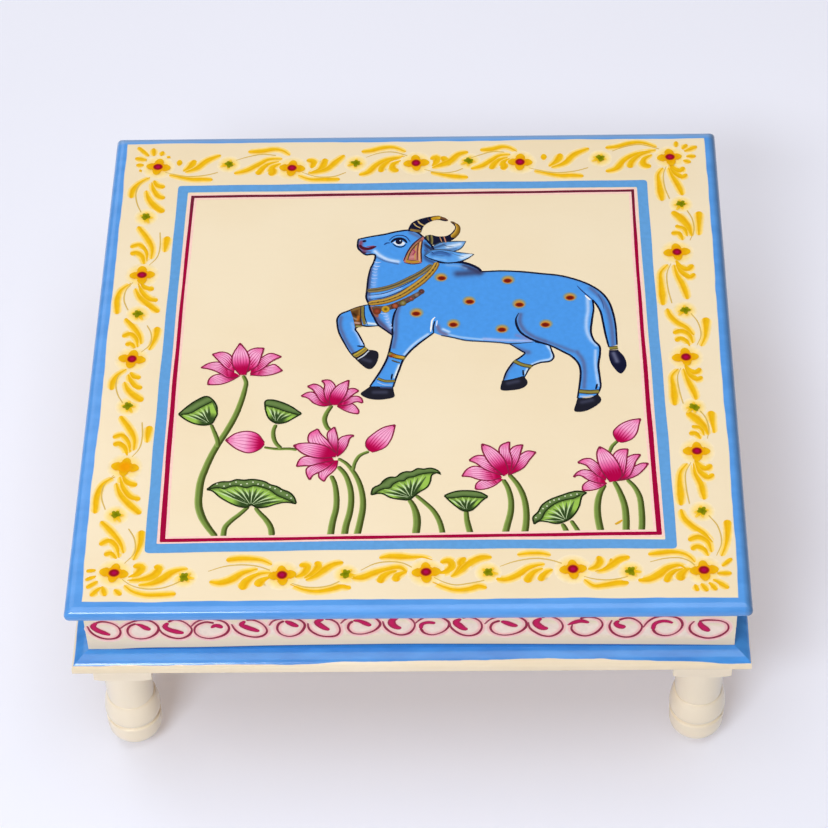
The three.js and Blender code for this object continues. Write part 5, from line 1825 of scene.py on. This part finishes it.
BODY_SHADES = [
    (HUMP + BACK[1:8], 1.8, COW_SHADE, 0.4),
    ([(591, 288), (600, 296.5), (606.5, 307), (610.5, 320), (612.5, 335), (613, 345)], 2.6, COW_SHADE, 0.9),
    ([(587.5, 298), (588, 310), (586.5, 320), (586.8, 330), (590, 338), (596.5, 345)], 2.0, LIGHT_BAND,
     0.95),
    ([(595.5, 350), (595.3, 362), (596.6, 375), (598.5, 385)], 1.5, LIGHT_BAND, 0.95),
    ([(577, 351.5), (583, 360.5), (584.8, 372), (584, 387)], 2.3, COW_SHADE, 0.9),
    ([(545, 340.8), (560, 346), (573, 351)], 2.2, COW_SHADE, 0.75),
    ([(520.5, 314), (520, 322), (524.5, 330), (533, 336), (545, 341)], 2.4, COW_SHADE, 0.95),
    ([(484, 338.6), (500, 339.6), (518, 340.3), (531, 340.3)], 1.9, (170, 184, 232), 0.95),
    ([(517, 335), (529, 338.5)], 2.2, (140, 128, 180), 0.6),
    ([(446, 333.5), (460, 336.7), (482, 339.2)], 1.2, COW_LIGHT, 0.7),
    ([(437.5, 326), (440.5, 331.5), (446, 334)], 2.5, (112, 110, 150), 0.95),
    ([(443, 328.8), (449, 331.5)], 1.5, COW_LIGHT, 0.9),
    ([(400, 304), (396.8, 314), (396, 325), (395.7, 336), (393.5, 347)], 2.2, COW_SHADE, 0.95),
    ([(428, 333.8), (418, 340.6), (410.5, 347), (404.5, 354)], 1.4, COW_LIGHT, 0.9),
    ([(399.5, 365), (397.2, 370.5), (394.8, 377)], 1.5, WHITE, 0.95),
    ([(378, 375), (384, 366), (388.5, 358)], 1.6, COW_SHADE, 0.5),
    ([(374, 309), (377, 319), (384, 326), (391, 333)], 2.9, (88, 78, 112), 0.95),
    ([(386, 313), (388, 320), (390.5, 327)], 2.6, (176, 200, 246), 0.6),
    ([(371.6, 266), (369.6, 279), (368.8, 292), (369.5, 300)], 1.7, (74, 72, 112), 0.85),
    ([(376, 262), (375, 275), (374, 287)], 2.6, (140, 176, 236), 0.6),
    ([(370, 296.5), (385, 294), (400, 288.5)], 2.0, (170, 196, 240), 0.75),
    ([(375, 251), (380, 255.3), (388, 259.3), (398, 261.3)], 2.3, (206, 224, 250), 0.95),
    ([(376, 256.5), (386, 261), (398, 263.6)], 0.9, (60, 80, 130), 0.8),
    ([(361.2, 241.5), (360.3, 246), (364.5, 250)], 2.4, MUZZLE_RED, 0.95),
    ([(363, 251.5), (370, 251.8)], 1.3, (112, 66, 100), 0.7),
    ([(411, 232.5), (421, 237.5)], 2.4, COW_SHADE, 0.8),
    ([(425, 243), (427, 250), (426, 258), (433, 262)], 2.6, (52, 70, 120), 0.8),
    ([(464, 266), (472, 268.6), (480, 271.8)], 3.4, COW_DUSK, 0.95),
    ([(458, 273.4), (466, 273), (473, 272.4), (478, 272)], 4.6, COW_DUSK, 0.8),
    ([(447, 265), (459, 265.8), (466, 268)], 1.6, (136, 178, 232), 0.6),
    ([(586, 291.5), (596, 298.5), (602.5, 308)], 1.6, (118, 176, 240), 0.5),
]
HEAVY_RUNS = [MUZZLE, BROW, HUMP, BACK, TAIL_INNER, NEAR_HIND_BACK, NEAR_HIND_FRONT]
HEAVY_RUNS += [NEAR_FORE_BACK, NEAR_FORE_FRONT, DEWLAP]
HEAVY_LINES = [(run, 2.2, INK) for run in HEAVY_RUNS] + [(HUMP[2:], 3.2, INK)]
FOLD_LINES = [
    (BELLY[:-1], 1.6, (44, 56, 84)),
    (FLANK_FOLD, 2.5, INK),
    (SHOULDER_FOLD, 2.2, INK),
]
BODY_LINES = [
    ([(433.8, 333), (433.2, 327), (435, 320.5)], 1.7, INK),
    ([(430.6, 331.5), (431.4, 325), (432.2, 320), (435, 316.8)], 1.8, WHITE),
    ([(437.2, 320), (436.3, 326)], 1.4, (200, 214, 244)),
    ([(577, 285.5), (584, 292.3), (592.5, 299.4)], 1.4, (38, 62, 118)),
    ([(585, 295), (590.5, 300)], 1.7, WHITE),
    ([(598, 294), (602, 301), (604, 309)], 0.9, (52, 82, 140)),
]


def body(paint, coat=3):
    """The body with its near legs and tail, softly shaded inside its dark outline."""
    paint.fill(shape(BODY_RUNS), shaded(COW_BLUE, BODY_SHADES), coat, BODY_GRAIN)
    ink(paint, coat + 1, HEAVY_LINES, ends=(0.8, 0.8))
    ink(paint, coat + 1, FOLD_LINES, ends=(0.3, 0.9))
    ink(paint, coat + 2, BODY_LINES)


BAND_TONES = [INK, OLIVE, (146, 134, 66), OLIVE, INK]
BAND_LINES = [
    ([(391, 354.2), (396, 356), (404, 357.5)], 3.4, [RUSSET, GOLD, (206, 162, 74)]),
    ([(389, 355.5), (392.5, 357)], 2.6, (126, 46, 24)),
    ([(391.5, 360), (396, 361.6), (400, 362.6)], 2.0, (84, 84, 72)),
    ([(377, 381.6), (384, 384.6), (392.5, 384.8)], 1.2, (160, 186, 226)),
    ([(579.8, 396), (587, 396.2), (593, 395.2)], 2.0, (172, 192, 226)),
    ([(357.6, 359), (363.5, 355.6), (369, 350.4)], 1.3, (206, 212, 224)),
    ([(353.6, 355), (358.5, 352.4), (365, 347.6)], 1.7, (192, 164, 60)),
    ([(355.4, 357), (361, 353.8), (367.3, 348.8)], 1.6, (170, 140, 52)),
    ([(392.3, 373.5), (391.2, 379.3)], 1.8, INK),
    ([(523, 369.8), (523.4, 375.5)], 1.8, INK),
    ([(597.3, 383.5), (595.8, 389)], 2.0, INK),
    ([(357, 345.7), (364.3, 346.4)], 1.6, INK),
    ([(380, 387.3), (392.5, 387.6)], 1.6, (66, 84, 132)),
]
TUFT_SHADES = [([(613.5, 353), (617, 361)], 2.4, (104, 108, 138), 0.9)]
SLEEVE_RUNS = [
    [(350.2, 310), (356, 307.4), (361.5, 306)],
    [(361.5, 306), (361.3, 316), (362.5, 326)],
    [(362.5, 326), (355, 327.5)],
    [(355, 327.5), (353.5, 320), (350.2, 310)],
]
SLEEVE_SHADES = [
    ([(352, 310), (360, 307.6)], 1.5, (140, 112, 62), 0.9),
    ([(353.5, 313.5), (356.5, 315.5)], 1.3, (52, 36, 20), 0.9),
    ([(358.5, 316), (357.5, 320)], 1.5, (190, 104, 34), 0.95),
    ([(353, 317.5), (356, 319)], 1.1, (184, 190, 190), 0.6),
    ([(355, 322.5), (359, 323)], 1.4, (206, 166, 158), 0.9),
    ([(359.5, 310), (359.5, 314)], 1.2, (150, 104, 48), 0.8),
]
SLEEVE_TRIM = [
    ([(355.5, 326), (361.5, 326.3)], 2.2, (150, 144, 84)),
    ([(362.8, 306), (362.8, 316), (364.6, 324.6)], 3.0, (130, 116, 58)),
]
SLEEVE_EDGES = [
    ([(360.8, 306.5), (360.7, 317), (361, 325.5)], 1.0, INK),
    ([(364.4, 305.5), (364.6, 316), (367.5, 325)], 1.0, INK),
]


def legwear(paint, coat=5):
    """The hooves, the bands above them, the armband of the raised leg and the tail's tuft."""
    for runs, gleam in zip(HOOVES, HOOF_GLEAMS):
        paint.fill(shape(runs), shaded(HOOF, [(gleam, GLEAM_PX, HOOF_LIGHT, 0.8)]), coat, HOOF_GRAIN)
    paint.fill(shape([TUFT, [TUFT[-1], TUFT[0]]]), shaded(INK, TUFT_SHADES), coat, HOOF_GRAIN)
    for line, width in LEG_BANDS:
        paint.mark(line, width, None, coat + 1, across=BAND_TONES, blunt=True)
    ink(paint, coat + 2, BAND_LINES, ends=(0.7, 0.7))
    paint.fill(shape(SLEEVE_RUNS), shaded(BROWN, SLEEVE_SHADES), coat + 1, FINE_GRAIN)
    ink(paint, coat + 2, SLEEVE_TRIM, ends=(1, 1))
    ink(paint, coat + 3, SLEEVE_EDGES)


FRONT_HORN_LINES = [
    ([(410, 229.3), (415, 230.4), (421, 231)], 3.4, (136, 108, 56)),
    ([(413.6, 223), (416, 225.6), (420.5, 228)], 1.2, HORN_TAN),
    ([(417.6, 220.4), (420.5, 223.6), (424.6, 225.4)], 1.5, HORN_TAN),
    ([(427.5, 218.2), (430, 221.6)], 0.8, BROWN),
]
FRONT_HORN_GOLD = ([(431.5, 219.2), (436, 217.9), (441, 217.7)], (4.6, 4.6, 3.8), [GOLD, GOLD, GOLD_LIGHT])
FRONT_HORN_TIP = ([(440, 217.7), (444, 218.4), (448, 220.3)], (3.8, 3.2, 1.2),
                  [(120, 84, 50), (92, 58, 48)])
REAR_HORN_RINGS = ([(429, 235), (429.6, 239.5), (429.4, 244)], (8, 8.5, 8))
REAR_HORN_TIP = ([(452, 237.2), (456.8, 232.5), (458.2, 227), (455.6, 223)], (6.5, 6, 4.8, 2.6))
RING_TONES = [INK, (150, 138, 80), (72, 64, 36), INK, (156, 144, 84), (84, 76, 42), INK]
TIP_TONES = [(216, 174, 84), (176, 132, 36), (136, 100, 32), (84, 62, 28)]
REAR_HORN_LINES = [
    ([(439.6, 236.4), (442.4, 243)], 1.0, (188, 140, 104)),
    ([(443.8, 236), (446, 242.4)], 1.3, (196, 132, 104)),
    ([(456, 223.6), (453, 222), (450.3, 221.4)], 2.2, (104, 78, 48)),
]


def horns(paint, rear_coat=2, front_coat=6):
    """Black horns with fine pale rings, gold towards their brown tips."""
    paint.fill(shape(FRONT_HORN), INK, front_coat)
    ink(paint, front_coat + 1, FRONT_HORN_LINES, ends=(0.8, 0.8))
    paint.mark(*FRONT_HORN_GOLD, front_coat + 2, blunt=True)
    paint.mark(*FRONT_HORN_TIP, front_coat + 3)
    paint.mark(*REAR_HORN_RINGS, None, rear_coat, across=RING_TONES, blunt=True)
    paint.mark(*REAR_HORN_TIP, None, rear_coat, across=TIP_TONES)
    ink(paint, rear_coat + 1, REAR_HORN_LINES)


NEAR_EAR_SHADES = [
    ([(433, 253.6), (440, 252.6), (449, 254.4)], 3.0, (54, 92, 156), 0.9),
    ([(462, 257), (472, 254.2)], 3.4, (222, 236, 250), 0.95),
    ([(434, 258), (446, 260)], 1.1, (150, 196, 246), 0.6),
]
HEAD_SHADOWS = [
    ([(424.5, 244), (429, 247), (433, 250.5)], 3.4, (44, 56, 92)),
    ([(424, 249.5), (428, 252), (432.5, 252.6)], 2.4, (70, 92, 142)),
    ([(430.5, 243.5), (433, 247), (433.6, 250)], 1.6, INK),
]
NEAR_EAR_LINES = [
    (NEAR_EAR[0], 1.6, INK),
    (NEAR_EAR[1], 1.4, EAR_RIM),
    ([(450, 251.6), (456, 254.6), (464, 256.6)], 0.8, (88, 124, 170)),
    ([(434, 252), (441, 251.4), (449, 253.2)], 0.9, (38, 62, 112)),
    ([(436, 255.6), (445, 255.8)], 0.8, (46, 74, 128)),
    ([(425.5, 255), (431, 251.5), (434, 253.5)], 1.0, (40, 60, 108)),
]


def ears(paint, coat=5):
    """The near ear, pale at its tip and dark within, and the shadows behind the head."""
    ink(paint, coat, HEAD_SHADOWS)
    paint.fill(shape(NEAR_EAR), shaded(NEAR_EAR_BLUE, NEAR_EAR_SHADES), coat + 1, EAR_GRAIN)
    ink(paint, coat + 2, NEAR_EAR_LINES)


EYE_RUNS = [
    [(392.8, 242.4), (397, 240.6), (402.6, 241.2), (405.4, 243)],
    [(405.4, 243), (402.6, 245.2), (397.5, 245.2), (392.8, 242.4)],
]
PUPIL, PUPIL_PX = (399, 241.4), 3.4
GLINT, GLINT_PX = (400.2, 240.4), 0.8
EYE_LINES = [
    ([(391, 242.4), (394, 239.6), (399.2, 238.2), (404, 239.4), (407, 242.8)], 3.0, INK),
    ([(392.6, 243.4), (396.5, 246.2), (402, 246.8), (406.2, 244)], 1.5, INK),
    ([(389, 240.4), (393, 236.8), (399.5, 235), (406, 236.6), (410.2, 241.6)], 1.3, (38, 62, 118)),
    ([(384, 244.6), (387, 242.6), (390, 242.8)], 1.8, (44, 84, 150)),
    ([(362.4, 241.4), (366.4, 240.4)], 3.2, (40, 26, 52)),
]
MOUTH_LINES = [
    ([(359.6, 244.6), (362, 247.4), (367.5, 248.6), (372, 247.6), (376.4, 246)], 3.8, LIP),
    ([(362, 251.4), (366.5, 253)], 2.0, (78, 40, 66)),
]
LIP_LINES = [
    ([(366, 246.6), (374.5, 245.6)], 1.2, (150, 74, 100)),
]
CHEEK_SHADES = [
    ([(410, 257), (414, 256.5)], 1.8, (214, 150, 148), 0.6),
    ([(421, 240), (414, 247)], 2.2, (132, 82, 66), 0.8),
]
CHEEK_LINES = [
    ([(419.6, 241.5), (413.2, 247.4), (408.7, 254), (406.2, 261)], 1.7, (176, 132, 60)),
    ([(420.6, 241), (419.4, 250), (419.6, 261)], 1.8, (224, 172, 112)),
    ([(405.6, 260.8), (412, 261.8), (419.5, 261.2)], 3.4, (184, 134, 46)),
    ([(411.5, 249), (415, 251.4), (412.5, 254.8)], 1.6, (168, 66, 96)),
    ([(416.6, 243), (415.2, 252), (415, 259.6)], 1.2, (196, 150, 70)),
]
CHEEK_EDGES = [
    (CHEEK[:4], 1.7, CHEEK_DARK),
    ([(421, 240.5), (415, 245.8), (410.4, 252), (407.6, 260)], 1.1, CHEEK_DARK),
    ([(419, 242), (417.6, 250), (417.4, 260)], 1.2, (110, 60, 40)),
    ([(422.4, 240), (421.2, 250), (421.7, 262)], 1.6, CHEEK_DARK),
    ([(404, 262.4), (412, 263.8), (421.5, 262.9)], 1.2, CHEEK_DARK),
    ([(408, 259.6), (412, 260.2), (417, 259.8)], 0.8, (110, 66, 36)),
]


def face(paint, coat=5):
    """The eye, the nostril, the mouth and the ornament on the cheek."""
    paint.fill(shape(EYE_RUNS), EYE_WHITE, coat, FINE_GRAIN)
    paint.dot(top(PUPIL)[0], PUPIL_PX * PX, INK, coat + 1, (1.05, 1.15))
    paint.dot(top(GLINT)[0], GLINT_PX * PX, COW_LIGHT, coat + 2)
    ink(paint, coat + 2, EYE_LINES)
    ink(paint, coat, MOUTH_LINES, ends=(0.7, 0.4))
    ink(paint, coat + 1, LIP_LINES)
    paint.fill(shape([CHEEK, [CHEEK[-1], CHEEK[0]]]), shaded(CHEEK_RED, CHEEK_SHADES), coat, FINE_GRAIN)
    ink(paint, coat + 1, CHEEK_LINES, ends=(0.8, 0.9))
    ink(paint, coat + 2, CHEEK_EDGES)


FRINGE = ([(372, 308), (385, 308), (397, 304.5), (409, 299), (422, 291.6)], (6, 7, 7.5, 7, 5))
FRINGE_TONES = [BROWN, (110, 84, 72), (82, 62, 56), (74, 60, 62)]
UPPER_WIDTHS = (6, 6.6, 7, 5.6)
UPPER_TONES = [BEAD_SHADOW, (150, 132, 84), BEAD_SHADOW, (128, 112, 70), (150, 130, 80), BEAD_SHADOW]
LOWER_WIDTHS = (7.6, 8.2, 8.4, 6.4)
LOWER_TONES = [BEAD_SHADOW, GILT, (196, 154, 66), (104, 76, 34), GILT, (160, 118, 44), BEAD_SHADOW]
BEADS, BEAD_PX, BEAD_TINT = 15, 0.9, (74, 54, 34)
NECK_LINES = [
    ([(368.5, 295.2), (384, 293), (399, 287.6), (412, 281), (426, 271)], 1.1, (52, 62, 104)),
    ([(369, 299.4), (384, 297.2), (398, 292), (409, 286)], 1.3, (54, 62, 100)),
    ([(371, 306), (374.5, 311), (377.5, 317)], 5.0, (150, 92, 78)),
]
THROAT_STROKES, THROAT_TOP, THROAT_STEP = 9, (373.8, 261.6), (-0.5, 3.3)
THROAT_TONES = [(196, 214, 250), (136, 176, 236)]
CHEST_STROKES, CHEST_TOP, CHEST_STEP, CHEST_TINT = 6, (381, 313), (1.7, 2.9), (172, 196, 242)
STROKE_PX, STROKE_SLIP = (0.8, 1.3), 0.6


def necklaces(paint, coat=4):
    """Two rows of beads round the neck with medallions below, and the strokes that shade the throat."""
    paint.mark(*FRINGE, None, coat + 1, across=FRINGE_TONES)
    paint.mark(UPPER_NECKLACE, UPPER_WIDTHS, None, coat + 1, across=UPPER_TONES)
    paint.mark(LOWER_NECKLACE, LOWER_WIDTHS, None, coat + 2, across=LOWER_TONES)
    for k in range(BEADS):
        place = along(spline(top(*LOWER_NECKLACE)), (k + 0.6) / (BEADS + 0.6))
        paint.dot(place, BEAD_PX * random.uniform(0.7, 1.3) * PX, BEAD_TINT, coat + 3)
    ink(paint, coat, NECK_LINES)
    for middle, radius, tints in MEDALLIONS:
        paint.dot(top(middle)[0], radius * PX, tints, coat + 3, (1, 1.12))
    for k in range(THROAT_STROKES):
        x = THROAT_TOP[0] + THROAT_STEP[0] * k + random.uniform(-STROKE_SLIP, STROKE_SLIP)
        y = THROAT_TOP[1] + THROAT_STEP[1] * k + random.uniform(-0.5, 0.5)
        tint = blend(np.array(k / (THROAT_STROKES - 1)), THROAT_TONES)
        line = [(x, y), (x + 3, y + 0.9), (x + random.uniform(5, 8), y + 0.3)]
        ink(paint, coat + 1, [(line, random.uniform(*STROKE_PX), tint)])
    for k in range(CHEST_STROKES):
        x = CHEST_TOP[0] + CHEST_STEP[0] * k + random.uniform(-STROKE_SLIP, STROKE_SLIP)
        y = CHEST_TOP[1] + CHEST_STEP[1] * k
        line = [(x, y), (x + 3, y + 0.6), (x + 6 - k * 0.8, y - 1)]
        ink(paint, coat + 1, [(line, random.uniform(*STROKE_PX), CHEST_TINT)])


PRINT_HALO = [PRINT_GOLD, PRINT_GOLD, (204, 146, 64), PRINT_EDGE, (116, 148, 156), COW_BLUE]
PRINT_HEART = [PRINT_CORE, PRINT_CORE, PRINT_CORE, (150, 62, 24), PRINT_GOLD]
PRINT_PX, PRINT_HEART_PX, PRINT_SIDES = 7.6, 4.8, 24


def prints(paint, coat=5):
    """Printed dots: soft gold with a dark red heart low in each."""
    for place in PRINTS:
        stretch = (random.uniform(*WIDE_STRETCH), random.uniform(*HIGH_STRETCH))
        paint.dot(top(place)[0], PRINT_PX * PX, PRINT_HALO, coat, stretch, PRINT_SIDES)
        heart = top((place[0] + random.uniform(-0.8, 0.8), place[1] + 1.0))[0]
        paint.dot(heart, PRINT_HEART_PX * PX, PRINT_HEART, coat + 1, (1.05, 0.74))


def cow(material):
    paint = Paint("cow", "cream_paint")
    for part in (far_side, body, legwear, horns, ears, face, necklaces, prints):
        part(paint)
    paint.piece(material)


carpentry()
brush = brush_material()
frames(brush)
border(brush)
swirls(brush)
pond(brush)
cow(brush)
stage()
camera()
lights()
colours()
